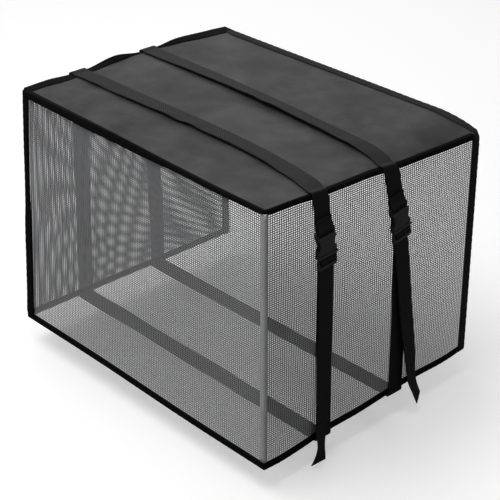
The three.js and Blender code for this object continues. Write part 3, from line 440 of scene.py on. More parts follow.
# Tapes and webbing: a rounded section swept between two edges
def rounded_section(low, high, radius, across=4):
    """Section points as (share of the width, millimetres in from that edge, height)."""
    middle = (low + high) / 2
    half = (high - low) / 2

    def rounded(edge, up, angles):
        """Half of a rounded edge: below the middle with up at -1, above it with up at 1."""
        inward = radius if edge == 0 else -radius
        turns = [math.radians(angle) for angle in angles]
        return [
            (edge, inward * (1 - math.cos(turn)), middle + up * half * math.sin(turn)) for turn in turns
        ]

    shares = [share / across for share in range(1, across)]
    points = [(0, 0, middle), *rounded(0, -1, (35, 65)), *((share, 0, low) for share in shares)]
    points += [*rounded(1, -1, (65, 35)), (1, 0, middle), *rounded(1, 1, (35, 65))]
    return points + [(1 - share, 0, high) for share in shares] + rounded(0, 1, (65, 35))


def section_loop(section, width):
    flat = [(share * width + inset, height) for share, inset, height in section]
    return zip(flat, flat[1:] + flat[:1])


def unit(v):
    return v / np.maximum(np.linalg.norm(v, axis=-1, keepdims=True), 1e-9)


def band_normals(a, b):
    """Normal at every station, and how far a mitre has to reach there."""
    middle = (a + b) / 2
    flat = unit(np.cross(middle[1:] - middle[:-1], (b - a)[1:] + (b - a)[:-1]))
    before = np.concatenate([flat[:1], flat])
    after = np.concatenate([flat, flat[-1:]])
    normal = unit(before + after)
    reach = 1 / np.maximum(0.6, np.sum(normal * before, axis=1))
    return normal, reach


RIPPLE_LONG = 11.0


def path_length(points):
    """Length along a path at each of its points."""
    return np.concatenate([[0], np.cumsum(np.linalg.norm(points[1:] - points[:-1], axis=1))])


def band(name, a, b, section, ripple=0.0):
    """A closed band between edges a and b, given station by station."""
    normal, reach = band_normals(a, b)
    stations, sides = len(a), len(section)
    piece = flat_grid(name, stations - 1, sides)
    u, v = flat_places(piece.data)
    i = np.clip(np.rint((u + 0.5) * (stations - 1)).astype(int), 0, stations - 1)
    k = np.rint((v + 0.5) * sides).astype(int) % sides
    share, inset, height = (np.array(column, float)[k] for column in zip(*section))
    length = path_length((a + b) / 2)
    phase = length[i] * 2 * math.pi / RIPPLE_LONG + 2 * np.sin(length[i] / 47)
    pucker = ripple * np.sin(phase) * (share - 0.35)
    across = unit(b - a)
    width = float(np.linalg.norm((b - a).mean(axis=0)))
    points = a[i] + (b - a)[i] * share[:, None] + across[i] * inset[:, None]
    points = points + normal[i] * ((height + pucker) * reach[i])[:, None]
    place_points(piece.data, points)
    girth = np.cumsum([math.dist(p, q) for p, q in section_loop(section, width)])
    scale_uv(piece.data, length[-1], girth[-1])
    return recalculated(piece, merge=0.001, caps=True)


def refined(points, longest):
    """More stations along a route, on a curve that runs on through the ones given."""
    steps = np.linalg.norm(points[1:] - points[:-1], axis=1)
    length = np.concatenate([[0], np.cumsum(np.maximum(steps, 1e-3))])
    places = [0.0]
    for i, step in enumerate(steps):
        pieces = max(2, math.ceil(step / longest))
        places += list(length[i] + (length[i + 1] - length[i]) * np.arange(1, pieces + 1) / pieces)
    return length, np.array(places)


def spread(length, values, places):
    """Points at new places along a route, from those at the lengths given."""
    return np.stack([along(list(zip(length, column)), places) for column in values.T], -1)


# Straps: the same route as the solids'
OVER_TAPE = TAPE_OFF + TAPE + WEB_LIFT + WEB_CLEAR
OVER_HEM = TAPE_IN + TAPE + WEB_LIFT + WEB_CLEAR
UNDER_HEM = 3.3
WALL_CLEAR = 0.35
BEND = 1.27
BUCKLE_LONG = 50.0
SOCKET_BAR = 2.6
BAR_LOW, BAR_HIGH = 2.4, 5.2
PLUG_TOP = -30.6
GRIP_HIGH, GRIP_LOW = PLUG_TOP - 8, PLUG_TOP - 8 - SOCKET_BAR
GRIP_BEHIND, GRIP_FRONT = BAR_LOW + 2.2, BAR_HIGH + 2.2


def on_right(strap, z, off):
    y = along(strap["run"], z)
    return np.array([right_x(y, z) + off, y, z], float)


def buckle_seat(strap):
    top = strap["buckle"]
    origin = on_right(strap, top, 0)
    up = unit(origin - on_right(strap, top - BUCKLE_LONG, 0))
    out = unit(np.array([1.0, 0, 0]) - up * up[0])
    return origin, up, out, np.cross(up, out)


def bend(at, off, degrees):
    angle = math.radians(degrees)
    return at + BEND * math.cos(angle), off + BEND * math.sin(angle)


def sewn_end():
    """Sewn end round the socket's bar: up from the buckle's top end, and out from the wall."""
    sewn = WEB_LIFT + WEB_THICK + GAP
    return [
        (15, sewn), (9, sewn), (4, sewn + 1.5),
        bend(0, BAR_HIGH, 70), bend(-SOCKET_BAR, BAR_HIGH, 110), bend(-SOCKET_BAR, BAR_HIGH, 160),
        bend(-SOCKET_BAR, BAR_LOW, 200), (-SOCKET_BAR - 0.7, WEB_LIFT), (6, WEB_LIFT), (20, WEB_LIFT),
    ]


def ladder_turn():
    """Webbing from under the plug round its gripping bar, given the same way."""
    return [
        (-BUCKLE_LONG - 9, WEB_LIFT), (GRIP_LOW - 1, WEB_LIFT + 0.1), (GRIP_HIGH - 1.2, WEB_LIFT + 0.8),
        bend(GRIP_HIGH, GRIP_BEHIND, -60), bend(GRIP_HIGH, GRIP_BEHIND, -10),
        bend(GRIP_HIGH, GRIP_FRONT, 15), bend(GRIP_HIGH, GRIP_FRONT, 70),
        bend(GRIP_LOW, GRIP_FRONT, 110), bend(GRIP_LOW, GRIP_FRONT, 165),
        (GRIP_LOW - 1.6, GRIP_BEHIND + 1.6), (GRIP_LOW - 2.8, GRIP_BEHIND - 0.2),
        (GRIP_LOW - 4.4, GRIP_BEHIND - 1.15), (-BUCKLE_LONG, GRIP_BEHIND - 1.25),
    ]


def slope_across(height_at, y):
    """Slope across the webbing at y, where height_at gives the height under it."""
    back, front = (float(height_at(np.float64(y + half))) for half in (WEBBING / 2, -WEBBING / 2))
    return (back - front) / WEBBING


# Distances from the right seam at which a strap's route over the top has a row
FROM_RIGHT = (
    2.4, 6, 11, 17, 25, 36, 50, 70, 100, 135, 170, 210, 250, 290, 330, 370, 410, 440, 458,
)


def over_top(strap):
    """Rows of a strap's route over the top, right to left: place, turn, slope, squareness."""
    right_y = strap["run"][-1][1]
    share = (right_y + HALF_D) / DEPTH
    seam = float(along(RIGHT_SEAM, share))
    right = float(right_x(np.float64(right_y), np.float64(seam)))
    tape_top = seam + SHEET + 0.7 + float(along(RIGHT_RISE, share))
    slope = slope_across(lambda y: along(RIGHT_SEAM, (y + HALF_D) / DEPTH), right_y)
    over = [
        on_right(strap, seam - 8.4, OVER_TAPE - 0.2),
        on_right(strap, seam - 4, OVER_TAPE),
        np.array([right + OVER_TAPE + 0.4, right_y, tape_top + 0.7]),
        np.array([right + OVER_TAPE, right_y, tape_top + 1.9]),
        np.array([right + OVER_TAPE - 1.2, right_y, tape_top + WEB_LIFT + 1.1]),
    ]
    # Over the seam the webbing folds along it, and below it turns square to its own run
    rows = [(place, 0, slope, square) for place, square in zip(over, (0.6, 0.3, 0, 0, 0))]
    for from_right in FROM_RIGHT:
        x = right - from_right
        s = (x + HALF_W) / WIDTH
        y = float(along(strap["top"], s))
        z = float(top_z(np.float64(x), np.float64(y))) + SHEET + WEB_LIFT + WEB_CLEAR
        slope = slope_across(lambda across, x=x: top_z(np.float64(x), across), y)
        lift, turn = (float(along(strap["top"], s, column)) for column in (2, 3))
        square = float(smooth((from_right - 2) / 20))
        rows.append((np.array([x, y, z + lift]), turn, slope, square))
    left_y = strap["top"][0][1]
    left = float(left_x(np.float64(left_y), np.float64(0)))
    over_tape = SHEET + float(along(LEFT_RISE, (left_y + HALF_D) / DEPTH)) + WEB_LIFT
    for out, up in ((-5, -0.7), (-1, 0.1), (3.1, 0.1), (4.5, -0.5), (5.1, -1.4)):
        rows.append((np.array([left - out, left_y, over_tape + up]), 0, 0, 1.0))
    return rows


def round_below(strap):
    """Rows down the left wall, under both hems and up the right wall to the buckle."""
    under_y = strap["under"]
    share = (under_y + HALF_D) / DEPTH
    left_foot = float(left_point(share, 1)[2]) - UNDER_HEM
    right_foot = float(right_point(share, 1)[2]) - UNDER_HEM

    def left_at(z, off):
        y = mix(strap["top"][0][1], under_y, -z / HEIGHT)
        return np.array([left_x(np.float64(y), np.float64(z)) - off, y, z], float)

    left = left_at(left_foot, 0)[0]
    right = on_right(strap, right_foot, 0)[0]
    rows = [left_at(-1.5, OVER_TAPE + 0.2), left_at(-7.5, OVER_TAPE), left_at(-12, OVER_TAPE - 1)]
    rows += [left_at(z, WEB_LIFT) for z in (-18, -70, -130, -190, -250, -300, -318)]
    rows += [left_at(-325, OVER_HEM), left_at(left_foot + 3, OVER_HEM)]
    middle = mix(left_foot, right_foot, 0.5)
    under = [
        (left - OVER_HEM + 0.7, left_foot + 0.8), (left - OVER_HEM + 2.6, left_foot), (0, middle),
        (right + OVER_HEM - 2.6, right_foot), (right + OVER_HEM - 0.7, right_foot + 0.8),
    ]
    rows += [np.array([x, under_y, z]) for x, z in under]
    rows += [on_right(strap, right_foot + 3, OVER_HEM), on_right(strap, -325, OVER_HEM)]
    rows += [on_right(strap, z, WEB_LIFT + WALL_CLEAR) for z in (-318, -285, -250, -210, -170)]
    return [(row, 0, 0, 1.0) for row in rows]


def tail_end(strap):
    """Rows down the free end, which hangs off the wall and turns as it likes."""
    tail = strap["tail"]
    rows = []
    for f in np.linspace(0, 1, 31):
        z = mix(tail[-1][0], tail[0][0], f)
        wall = on_right(strap, max(z, -HEIGHT), float(along(tail, z, 2)))
        place = np.array([wall[0], float(along(tail, z)), z])
        rows.append((place, float(along(tail, z, 3)), mix(1, 0.45, float(smooth(4 * f - 3)))))
    return rows


def turned(v, axis, degrees):
    return np.array(Matrix.Rotation(math.radians(degrees), 3, Vector(axis)) @ Vector(v))


def strap_edges(strap):
    origin, up, out, side = buckle_seat(strap)
    route = [(origin + up * at + out * off, 0, 0, 1.0, side) for at, off in sewn_end()]
    route += [row + (None,) for row in over_top(strap) + round_below(strap)]
    route += [(origin + up * at + out * off, 0, 0, 1.0, side) for at, off in ladder_turn()]
    route += [(place, turn, 0, square, None) for place, turn, square in tail_end(strap)]
    edges = []
    for i, (place, turn, slope, square, fixed) in enumerate(route):
        ahead = unit(route[min(len(route) - 1, i + 1)][0] - route[max(0, i - 1)][0])
        if fixed is None:
            across = np.array([0.0, 1, slope])
            fixed = turned(unit(across - ahead * np.dot(across, ahead) * square), ahead, turn)
        edges.append((place - fixed * WEBBING / 2, place + fixed * WEBBING / 2))
    return tuple(np.array(edge, float) for edge in zip(*edges))


EDGE_LIFT, EDGE_SWAY = 0.75, 0.6


def webbing(name, strap):
    """A strap, its front edge lifting and swaying a little along the top."""
    a, b = strap_edges(strap)
    length, places = refined((a + b) / 2, 7.0)
    a, b = spread(length, a, places), spread(length, b, places)
    on_top = inside_span(a[:, 0], -HALF_W + 8, HALF_W - 14, 40) * (a[:, 2] > -20)
    x = a[:, 0]
    lift = np.sin(x / 11.5 + 2 * np.sin(x / 31)) * np.cos(x / 47 + strap["under"])
    a[:, 2] += on_top * EDGE_LIFT * (1 + lift)
    a[:, 1] += on_top * EDGE_SWAY * np.sin(x / 17 + 2.5 * np.sin(x / 43) + strap["under"])
    section = rounded_section(-WEB_THICK / 2, WEB_THICK / 2, 0.5, across=8)
    return band(name, a, b, section)


# Shared shader groups
def group(name, inputs, outputs):
    tree = bpy.data.node_groups.new(name, "ShaderNodeTree")
    for label, kind, value in inputs:
        socket = tree.interface.new_socket(label, in_out="INPUT", socket_type=kind)
        if value is not None:
            socket.default_value = value
    for label, kind in outputs:
        tree.interface.new_socket(label, in_out="OUTPUT", socket_type=kind)
    return tree, tree.nodes.new("NodeGroupInput"), tree.nodes.new("NodeGroupOutput")


def put(tree, kind, values=None, **settings):
    """A node with its settings, and its inputs set or linked by name or number."""
    node = tree.nodes.new(kind)
    for key, value in settings.items():
        setattr(node, key, value)
    for key, value in (values or {}).items():
        if isinstance(value, bpy.types.NodeSocket):
            tree.links.new(value, node.inputs[key])
        else:
            node.inputs[key].default_value = value
    return node


def maths(tree, operation, *values):
    return put(tree, "ShaderNodeMath", dict(enumerate(values)), operation=operation).outputs[0]


def ranged(tree, value, start, end, low, high):
    """A value between start and end, carried to between low and high."""
    return put(tree, "ShaderNodeMapRange", {0: value, 1: start, 2: end, 3: low, 4: high}).outputs[0]


VECTOR, FLOAT = "NodeSocketVector", "NodeSocketFloat"


def weave_group():
    """Plain weave: warp runs along X and weft along Y, at the pitches given in metres."""
    tree, given, result = group(
        "weave",
        [("Vector", VECTOR, None), ("Across", FLOAT, 0.001), ("Up", FLOAT, 0.001)],
        [("Height", FLOAT)],
    )
    place = put(tree, "ShaderNodeSeparateXYZ", {0: given.outputs["Vector"]})
    x = maths(tree, "DIVIDE", place.outputs[0], given.outputs["Across"])
    y = maths(tree, "DIVIDE", place.outputs[1], given.outputs["Up"])
    over_x = maths(tree, "ABSOLUTE", maths(tree, "SINE", maths(tree, "MULTIPLY", x, math.pi)))
    over_y = maths(tree, "ABSOLUTE", maths(tree, "SINE", maths(tree, "MULTIPLY", y, math.pi)))
    square = maths(tree, "ADD", maths(tree, "FLOOR", x), maths(tree, "FLOOR", y))
    odd = maths(tree, "PINGPONG", square, 1.0)
    blend = put(tree, "ShaderNodeMix", {0: odd, 2: over_x, 3: over_y}, data_type="FLOAT")
    tree.links.new(blend.outputs[0], result.inputs["Height"])
    return tree


def stitch_group():
    """A row of stitches along X at a given height on the map."""
    tree, given, result = group(
        "stitch_row",
        [
            ("Vector", VECTOR, None), ("Row", FLOAT, 0.002), ("Pitch", FLOAT, 0.003),
            ("Thick", FLOAT, 0.0005),
        ],
        [("Mask", FLOAT)],
    )
    place = put(tree, "ShaderNodeSeparateXYZ", {0: given.outputs["Vector"]})
    along_row = maths(tree, "FRACT", maths(tree, "DIVIDE", place.outputs[0], given.outputs["Pitch"]))
    from_middle = maths(tree, "ABSOLUTE", maths(tree, "SUBTRACT", along_row, 0.5))
    dash = ranged(tree, from_middle, 0.42, 0.34, 0.0, 1.0)
    off = maths(tree, "ABSOLUTE", maths(tree, "SUBTRACT", place.outputs[1], given.outputs["Row"]))
    near = ranged(tree, off, given.outputs["Thick"], 0.0, 0.0, 1.0)
    tree.links.new(maths(tree, "MULTIPLY", dash, near), result.inputs["Mask"])
    return tree


def mottle_group():
    """Slow unevenness of a dyed or coated cloth: one soft value round one."""
    tree, given, result = group(
        "mottle",
        [("Vector", VECTOR, None), ("Scale", FLOAT, 14.0), ("Amount", FLOAT, 0.1)],
        [("Value", FLOAT)],
    )
    slow = put(tree, "ShaderNodeTexNoise", {
        "Vector": given.outputs["Vector"], "Scale": given.outputs["Scale"],
        "Detail": 5.0, "Roughness": 0.55,
    })
    middle = maths(tree, "SUBTRACT", slow.outputs[0], 0.5)
    swing = maths(tree, "MULTIPLY", middle, maths(tree, "MULTIPLY", given.outputs["Amount"], 4.0))
    tree.links.new(maths(tree, "ADD", swing, 1.0), result.inputs["Value"])
    return tree


WEAVE = weave_group()
STITCHES = stitch_group()
MOTTLE = mottle_group()


def material(name):
    made = bpy.data.materials.new(name)
    made.use_nodes = True
    tree = made.node_tree
    return made, tree, tree.nodes["Principled BSDF"]


def use(tree, shared, values):
    """A shared group, placed in a material with its own values."""
    return put(tree, "ShaderNodeGroup", values, node_tree=shared).outputs[0]


def places_on(tree, chart):
    return put(tree, "ShaderNodeTexCoord").outputs[chart]


def tinted(tree, color, factor):
    """A colour made lighter or darker by a value."""
    return put(tree, "ShaderNodeVectorMath", {0: color, 3: factor}, operation="SCALE").outputs[0]


def bump(tree, shader, height, distance, strength, under=None):
    values = {"Height": height, "Distance": distance, "Strength": strength}
    if under is not None:
        values["Normal"] = under
    node = put(tree, "ShaderNodeBump", values)
    tree.links.new(node.outputs[0], shader.inputs["Normal"])
    return node.outputs[0]


def coated_cloth():
    made, tree, shader = material("charcoal_coated_cloth")
    place = places_on(tree, "Object")
    patches = use(tree, MOTTLE, {"Vector": place, "Scale": 13.0, "Amount": 0.62})
    rubs = use(tree, MOTTLE, {"Vector": place, "Scale": 34.0, "Amount": 0.3})
    clouds = maths(tree, "MULTIPLY", patches, rubs)
    flecks = use(tree, MOTTLE, {"Vector": place, "Scale": 160.0, "Amount": 0.05})
    tone = maths(tree, "MULTIPLY", clouds, flecks)
    tree.links.new(tinted(tree, (0.038, 0.038, 0.039), tone), shader.inputs["Base Color"])
    rough = maths(tree, "MULTIPLY", flecks, 0.62)
    tree.links.new(rough, shader.inputs["Roughness"])
    shader.inputs["Specular IOR Level"].default_value = 0.35
    threads = use(tree, WEAVE, {"Vector": place, "Across": 0.0007, "Up": 0.0007})
    soft = put(tree, "ShaderNodeTexNoise", {"Vector": place, "Scale": 26.0, "Detail": 3.0}).outputs[0]
    waves = bump(tree, shader, soft, 0.0016, 0.5)
    bump(tree, shader, threads, 0.00008, 0.5, under=waves)
    return made


def net_thread():
    made, tree, shader = material("grey_net_thread")
    place = places_on(tree, "Object")
    tone = use(tree, MOTTLE, {"Vector": place, "Scale": 9.0, "Amount": 0.05})
    rim = put(tree, "ShaderNodeAttribute", attribute_name="rim").outputs["Fac"]
    crown = maths(tree, "SUBTRACT", 1.0, maths(tree, "POWER", rim, 2.0))
    # Painted shade: each thread's colour is darkened from its crown to the hole edges, where a round
    # thread turns away from the light. The bump below also rounds the threads.
    light = maths(tree, "MULTIPLY", tone, ranged(tree, crown, 0.0, 1.0, 0.72, 1.12))
    tree.links.new(tinted(tree, (0.3, 0.303, 0.31), light), shader.inputs["Base Color"])
    shader.inputs["Roughness"].default_value = 0.7
    shader.inputs["Specular IOR Level"].default_value = 0.3
    shader.inputs["Sheen Weight"].default_value = 0.15
    bump(tree, shader, crown, 0.0004, 0.8)
    return made


def tape_cloth(name, color, row, gloss):
    """Woven tape with one row of stitches, at its height on the map."""
    made, tree, shader = material(name)
    chart = places_on(tree, "UV")
    threads = use(tree, WEAVE, {"Vector": chart, "Across": 0.0009, "Up": 0.0006})
    tone = use(tree, MOTTLE, {"Vector": places_on(tree, "Object"), "Scale": 30.0, "Amount": 0.1})
    stitches = use(tree, STITCHES, {"Vector": chart, "Row": row, "Pitch": 0.003, "Thick": 0.0005})
    light = maths(tree, "ADD", tone, maths(tree, "MULTIPLY", stitches, 1.1))
    woven = maths(tree, "ADD", 0.75, maths(tree, "MULTIPLY", threads, 0.35))
    light = maths(tree, "MULTIPLY", light, woven)
    tree.links.new(tinted(tree, color, light), shader.inputs["Base Color"])
    shader.inputs["Roughness"].default_value = 0.8
    shader.inputs["Specular IOR Level"].default_value = gloss
    raised = bump(tree, shader, threads, 0.00012, 0.7)
    bump(tree, shader, stitches, 0.0004, 0.9, under=raised)
    return made


def web_cloth():
    made, tree, shader = material("black_ribbed_webbing")
    chart = places_on(tree, "UV")
    place = places_on(tree, "Object")
    ribs = use(tree, WEAVE, {"Vector": chart, "Across": 0.0015, "Up": 0.0011})
    tone = use(tree, MOTTLE, {"Vector": place, "Scale": 22.0, "Amount": 0.09})
    ribbed = maths(tree, "ADD", 0.72, maths(tree, "MULTIPLY", ribs, 0.4))
    light = maths(tree, "MULTIPLY", tone, ribbed)
    tree.links.new(tinted(tree, (0.0062, 0.0062, 0.0065), light), shader.inputs["Base Color"])
    shader.inputs["Roughness"].default_value = 0.62
    shader.inputs["Specular IOR Level"].default_value = 0.3
    bump(tree, shader, ribs, 0.00025, 0.8)
    return made


def moulded_plastic():
    made, tree, shader = material("black_moulded_plastic")
    place = places_on(tree, "Object")
    noise = put(tree, "ShaderNodeTexNoise", {"Vector": place, "Scale": 1400.0, "Detail": 2.0})
    grain = noise.outputs[0]
    tone = use(tree, MOTTLE, {"Vector": place, "Scale": 60.0, "Amount": 0.08})
    tree.links.new(tinted(tree, (0.027, 0.0272, 0.0285), tone), shader.inputs["Base Color"])
    tree.links.new(ranged(tree, grain, 0.3, 0.7, 0.3, 0.42), shader.inputs["Roughness"])
    shader.inputs["Specular IOR Level"].default_value = 0.5
    bump(tree, shader, grain, 0.00003, 0.6)
    return made


TOP_CLOTH = coated_cloth()
NET_THREAD = net_thread()
TAPE_CLOTH = tape_cloth("black_seam_tape", (0.006, 0.006, 0.0063), 0.0016, 0.06)
HEM_CLOTH = tape_cloth("black_hem_tape", (0.012, 0.012, 0.0125), 0.0016, 0.25)
CORNER_CLOTH = tape_cloth("grey_corner_strip", (0.5, 0.503, 0.512), 0.0012, 0.25)
WEB_CLOTH = web_cloth()
PLASTIC = moulded_plastic()


def dress(piece, node, cloth):
    piece.data.materials.clear()
    piece.data.materials.append(cloth)
    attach(piece, "root")
    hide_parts(node)


# How far cloth and net run on inside the tapes that bind them
UNDER_TAPE = 3.0


# Top. Fine wrinkles: both ends on the face, half width and height
TOP_WRINKLES = [
    (-215, -150, -160, -118, 7, 0.8), (-190, -165, -120, -152, 8, -0.6), (60, -165, 150, -148, 9, 0.6),
    (150, -160, 205, -128, 8, -0.7), (-60, -30, 20, -50, 12, 0.6), (90, -45, 170, -62, 10, -0.5),
    (-205, -45, -150, -20, 8, 0.7), (-190, 78, -110, 92, 12, 0.7), (-60, 120, 60, 128, 14, -0.6),
    (110, 60, 190, 72, 10, 0.6), (140, 140, 205, 110, 9, -0.7), (-215, 150, -150, 120, 9, 0.6),
]


def top_surface(s, t):
    points = top_point(s, t * (1 - (back_tape_width(s) - UNDER_TAPE) / DEPTH), SHEET)
    x, y = points[:, 0], points[:, 1]
    inner = inside_span(x, -HALF_W, HALF_W, 14) * inside_span(y, -HALF_D, HALF_D, 14)
    lines = [along(strap["top"], (x + HALF_W) / WIDTH) for strap in STRAPS.values()]
    points[:, 2] += crease(TOP_WRINKLES, x, y) * inner * free_of_straps(y, lines)
    return points


top = flat_grid("top_cloth", 150, 118)
s, t = (place + 0.5 for place in flat_places(top.data))
place_points(top.data, top_surface(s, t))
thicken(top, SHEET)
dress(top, "top_panel", TOP_CLOTH)


# Net walls
NET_HIGH, NET_ROWS = 328, 120
NET_BACK = BACK_SHARE + UNDER_TAPE / DEPTH
NET_FOOT = HEM_SHARE + UNDER_TAPE / HEIGHT
NET_IN = 0.5


def wall(point, first, last):
    def surface(s, t):
        return point(mix(first, last, s), mix(NET_FOOT, SEAM_SHARE, t), -NET_IN)
    return surface


for side, wide, columns, surface in (
    ("front", 472, 137, wall(front_point, 0.002, 0.998)),
    ("right", 356, 103, wall(right_point, CORNER_SHARE, NET_BACK)),
    ("left", 356, 103, wall(left_point, CORNER_SHARE, NET_BACK)),
):
    net = net_sheet(side + "_net", wide, NET_HIGH, columns, NET_ROWS, surface)
    dress(net, side + "_mesh", NET_THREAD)


# Bindings
FOLD_OUT = 2.6
FOLD_THICK = 0.9
FLAP = 0.6
INWARD = {"front": (0, 1, 0), "right": (-1, 0, 0), "left": (1, 0, 0)}


def folded_rows(point, side, t, drop, rise, flap):
    """Outer face of a tape folded over a seam, from its foot on the wall to its edge on the top."""
    seam = point(t, 0 * t)
    crest = seam[:, 2] + SHEET + GAP + rise
    inner = seam + np.array(INWARD[side]) * flap[:, None]
    inner[:, 2] = top_z(inner[:, 0], inner[:, 1]) + SHEET + FLAP
    pucker = 0.35 * np.sin(t * 190 + 3 * np.sin(t * 23))
    foot, middle = drop / HEIGHT, 0.5 * drop / HEIGHT
    rows = [point(t, foot, FOLD_OUT + pucker), point(t, middle, FOLD_OUT + 0.4)]
    for down, off in ((1.2, FOLD_OUT), (0.3, FOLD_OUT - 0.8), (0, 0.6)):
        row = point(t, 0 * t, off)
        row[:, 2] = crest - down
        rows.append(row)
    over = mix(rows[-1], inner, 0.5)
    over[:, 2] = np.maximum(over[:, 2], top_z(over[:, 0], over[:, 1]) + SHEET + FLAP + 0.2)
    return np.stack(rows + [over, inner], 1)


def folded_tape(name, node, rows):
    stations, across = rows.shape[:2]
    fine = 2 * (across - 1) + 1
    piece = flat_grid(name, stations - 1, fine - 1)
    u, v = flat_places(piece.data)
    i = np.rint((u + 0.5) * (stations - 1)).astype(int)
    k = np.rint((v + 0.5) * (fine - 1)).astype(int)
    place = np.arange(across) * 2.0
    smoothed = np.stack([spread(place, row, np.arange(fine)) for row in rows])
    place_points(piece.data, smoothed[i, k])
    wide = np.linalg.norm(rows[:, 1:] - rows[:, :-1], axis=2).sum(axis=1).mean()
    scale_uv(piece.data, path_length(rows[:, 0])[-1], wide)
    thicken(piece, FOLD_THICK)
    dress(piece, node, TAPE_CLOTH)


# Front tape, on round the right corner
t = np.linspace(0, 0.997, 190)
front_rows = folded_rows(
    front_point, "front", t, along(FRONT_DROP, t), along(FRONT_RISE, t), along(FRONT_FLAP, t)
)
t = np.linspace(0.004, 0.013, 4)
corner_rows = folded_rows(
    right_point, "right", t, 0 * t + FRONT_DROP[-1][1], 0 * t + 0.5, 0 * t + FRONT_FLAP[-1][1]
)
folded_tape("front_top_tape", "front_top_binding", np.concatenate([front_rows, corner_rows]))
t = np.linspace(0.015, BEFORE_BACK, 150)
right_rows = folded_rows(
    right_point, "right", t, 0 * t + RIGHT_DROP, along(RIGHT_RISE, t), along(RIGHT_FLAP, t)
)
folded_tape("right_top_tape", "right_top_binding", right_rows)


OVER_BACK_TAPE = 0.9


def left_out(t, share, off=0.0):
    """The left wall, a little further out where its top tape lies over the back tape."""
    return left_point(t, share, off + OVER_BACK_TAPE * smooth((t - 0.88) / 0.06))


t = np.linspace(1, 0.004, 170)
rise = along(LEFT_RISE, t)
left_rows = folded_rows(
    left_out, "left", t, LEFT_TAPE - SHEET - rise, rise - GAP, along(LEFT_FLAP, t)
)
folded_tape("left_top_tape", "left_top_binding", left_rows)

# Tape up the left front corner
CORNER_TOP = 6.3 / HEIGHT
share = np.linspace(CORNER_TOP, ABOVE_HEM, 130)
width = along(CORNER_WIDTH, share)
b = front_point((CORNER_IN + width) / WIDTH, share, CORNER_OFF)
a = b.copy()
a[:, 0] -= width + along(CORNER_WAVE, share)
corner_tape = band("left_corner_tape", a, b, rounded_section(0, TAPE, 0.8), ripple=0.5)
dress(corner_tape, "left_corner_binding", TAPE_CLOTH)

# Grey strip round the right front corner
STRIP = 0.9
STRIP_OUT = 0.3 + STRIP
STRIP_TOP = 4.6 / HEIGHT
STRIP_LONG, STRIP_WIDE = 326, 9
share = np.linspace(STRIP_TOP, ABOVE_HEM, 60)
rows = [front_point(1 + 0 * share + x / WIDTH, share, STRIP_OUT) for x in (-6.0, -4.5, -3.0, -1.5)]
rows += [right_point(0 * share, share, 0.6) + np.array([0.4, -0.9, 0])]
rows += [right_point(0 * share + y / DEPTH, share, STRIP_OUT) for y in (1.0, 2.0, 3.0)]
strip_rows = np.stack(rows, 1)[::-1]
strip = flat_grid("right_corner_strip", len(share) - 1, len(rows) - 1)
u, v = flat_places(strip.data)
i = np.rint((u + 0.5) * (len(share) - 1)).astype(int)
k = np.rint((v + 0.5) * (len(rows) - 1)).astype(int)
place_points(strip.data, strip_rows[i, k])
scale_uv(strip.data, STRIP_LONG, STRIP_WIDE)
recalculated(strip)
thicken(strip, STRIP)
dress(strip, "right_corner_seam", CORNER_CLOTH)


def round_hem(share):
    """Stations round the left, front and right walls at one share of the height."""
    return np.concatenate([
        left_point(np.linspace(BEFORE_BACK, 0, 90), share),
        front_point(np.linspace(0, 1, 120)[1:], share),
        right_point(np.linspace(0, BEFORE_BACK, 100)[1:], share),
    ])


BOUND_EDGE = rounded_section(TAPE_IN, TAPE_IN + TAPE, 0.8)
hem_top = round_hem(HEM_SHARE + EDGE_GAP / HEIGHT)
hem_tape = band("bottom_tape", round_hem(1.0), hem_top, BOUND_EDGE, ripple=0.4)
dress(hem_tape, "bottom_binding", TAPE_CLOTH)


def round_back(inner):
    """Stations up the left wall, over the top and down the right wall, at the inner or outer edge."""
    side = 1 - BACK_TAPE_SIDE / DEPTH if inner else 1.0
    s = np.linspace(*BACK_ENDS, 110)
    top_share = 1 - back_tape_width(s) / DEPTH if inner else 1.0 + 0 * s
    lift = over_back(s) if inner else 0.0
    up = left_point(side, np.linspace(1, 0.01, 80))
    down = right_point(side, np.linspace(0.012, 1, 80))
    return np.concatenate([up, top_point(s, top_share, SHEET + lift), down])


back_tape = band("back_tape", round_back(True), round_back(False), BOUND_EDGE, ripple=0.4)
dress(back_tape, "back_binding", HEM_CLOTH)

# Straps
for name, strap in STRAPS.items():
    web = webbing(name + "_webbing", strap)
    dress(web, name + "_strap", WEB_CLOTH)


# Buckles: copies of the solids, their edges rounded as moulded plastic is, and both sides of
# the sockets opened to where the prongs are pressed
PRESS = {"radius": 9.0, "across": 17.6, "at": -18.6, "low": 2.6, "high": 7.8}
ROUNDING = 0.45


def press_openings(piece, strap):
    origin, up, out, side = buckle_seat(strap)
    turn = np.stack([side, up, out, origin], 1)
    seat = Matrix([*turn.tolist(), [0, 0, 0, 1]])
    middle = (PRESS["high"] + PRESS["low"]) / 2
    bm = bmesh.new()
    for across in (-PRESS["across"], PRESS["across"]):
        disc = bmesh.ops.create_cone(
            bm, cap_ends=True, segments=48, radius1=PRESS["radius"], radius2=PRESS["radius"],
            depth=PRESS["high"] - PRESS["low"],
        )
        bmesh.ops.translate(bm, verts=disc["verts"], vec=(across, PRESS["at"], middle))
    bmesh.ops.transform(bm, matrix=Matrix.Scale(MM, 4) @ seat, verts=bm.verts[:])
    cutter = finish_mesh(bm, "press_cutter")
    cut = piece.modifiers.new("openings", "BOOLEAN")
    cut.operation = "DIFFERENCE"
    cut.object = cutter
    finished = piece.evaluated_get(bpy.context.evaluated_depsgraph_get())
    opened = bpy.data.meshes.new_from_object(finished)
    piece.modifiers.clear()
    piece.data = opened
    bpy.data.objects.remove(cutter)


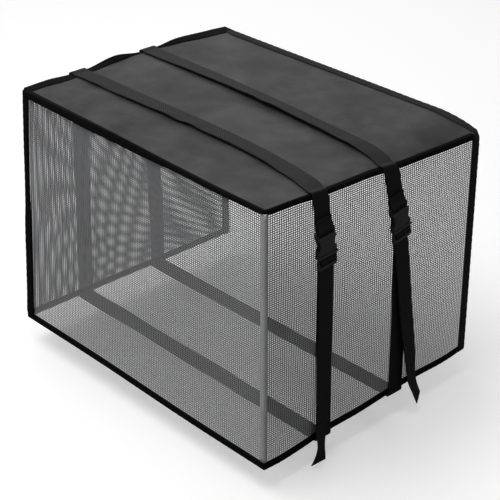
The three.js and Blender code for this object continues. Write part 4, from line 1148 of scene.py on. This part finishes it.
def moulded(node, name, strap=None):
    bm = bmesh.new()
    bm.from_mesh(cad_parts[node].data)
    bmesh.ops.remove_doubles(bm, verts=bm.verts[:], dist=1e-6)
    flat = math.radians(1)
    bmesh.ops.dissolve_limit(bm, angle_limit=flat, verts=bm.verts[:], edges=bm.edges[:])
    piece = finish_mesh(bm, name)
    if strap:
        press_openings(piece, strap)
    rounding = piece.modifiers.new("rounding", "BEVEL")
    rounding.width = ROUNDING * MM
    rounding.segments = 3
    rounding.limit_method = "ANGLE"
    rounding.angle_limit = math.radians(38)
    rounding.harden_normals = True
    dress(piece, node, PLASTIC)


for name, strap in STRAPS.items():
    moulded(name + "_buckle_socket", name + "_socket", strap)
    moulded(name + "_buckle_plug", name + "_plug")

# Floor, light and sky
bm = bmesh.new()
bmesh.ops.create_grid(bm, x_segments=1, y_segments=1, size=12)
bmesh.ops.translate(bm, verts=bm.verts[:], vec=(0, 0, CAD_BOX[0][2] - 0.004))
floor = finish_mesh(bm, "floor")
paper, tree, shader = material("pale_paper")
seen = put(tree, "ShaderNodeLightPath").outputs["Is Camera Ray"]
tone = ranged(tree, seen, 0.0, 1.0, 0.16, 0.8)
glow = ranged(tree, seen, 0.0, 1.0, 0.0, 0.38)
grey = put(tree, "ShaderNodeCombineColor", {0: tone, 1: tone, 2: tone}).outputs[0]
tree.links.new(grey, shader.inputs["Base Color"])
shader.inputs["Roughness"].default_value = 1.0
shader.inputs["Specular IOR Level"].default_value = 0.0
shader.inputs["Emission Color"].default_value = (1, 1, 1, 1)
tree.links.new(glow, shader.inputs["Emission Strength"])
floor.data.materials.append(paper)


AIM = Vector((0, 0, -0.15))


def area_light(name, place, size, power):
    data = bpy.data.lights.new(name, "AREA")
    data.shape = "SQUARE"
    data.size = size
    data.energy = power
    light = bpy.data.objects.new(name, data)
    light.location = place
    light.rotation_euler = (AIM - Vector(place)).to_track_quat("-Z", "Y").to_euler()
    bpy.context.scene.collection.objects.link(light)


area_light("overhead", (-0.3, -0.7, 2.4), 2.2, 56)
area_light("behind", (-1.9, 1.75, 1.5), 2.2, 18)
area_light("front_fill", (-0.4, -2.6, 0.9), 1.6, 9)
area_light("side_fill", (2.6, -0.3, 0.9), 1.6, 6)

sky = bpy.data.worlds.new("studio")
sky.use_nodes = True
tree = sky.node_tree
seen = put(tree, "ShaderNodeLightPath").outputs["Is Camera Ray"]
tone = ranged(tree, seen, 0.0, 1.0, 0.14, 1.0)
tree.links.new(tone, tree.nodes["Background"].inputs["Strength"])
tree.nodes["Background"].inputs["Color"].default_value = (1, 1, 1, 1)
bpy.context.scene.world = sky
bpy.context.scene.view_settings.view_transform = "Standard"
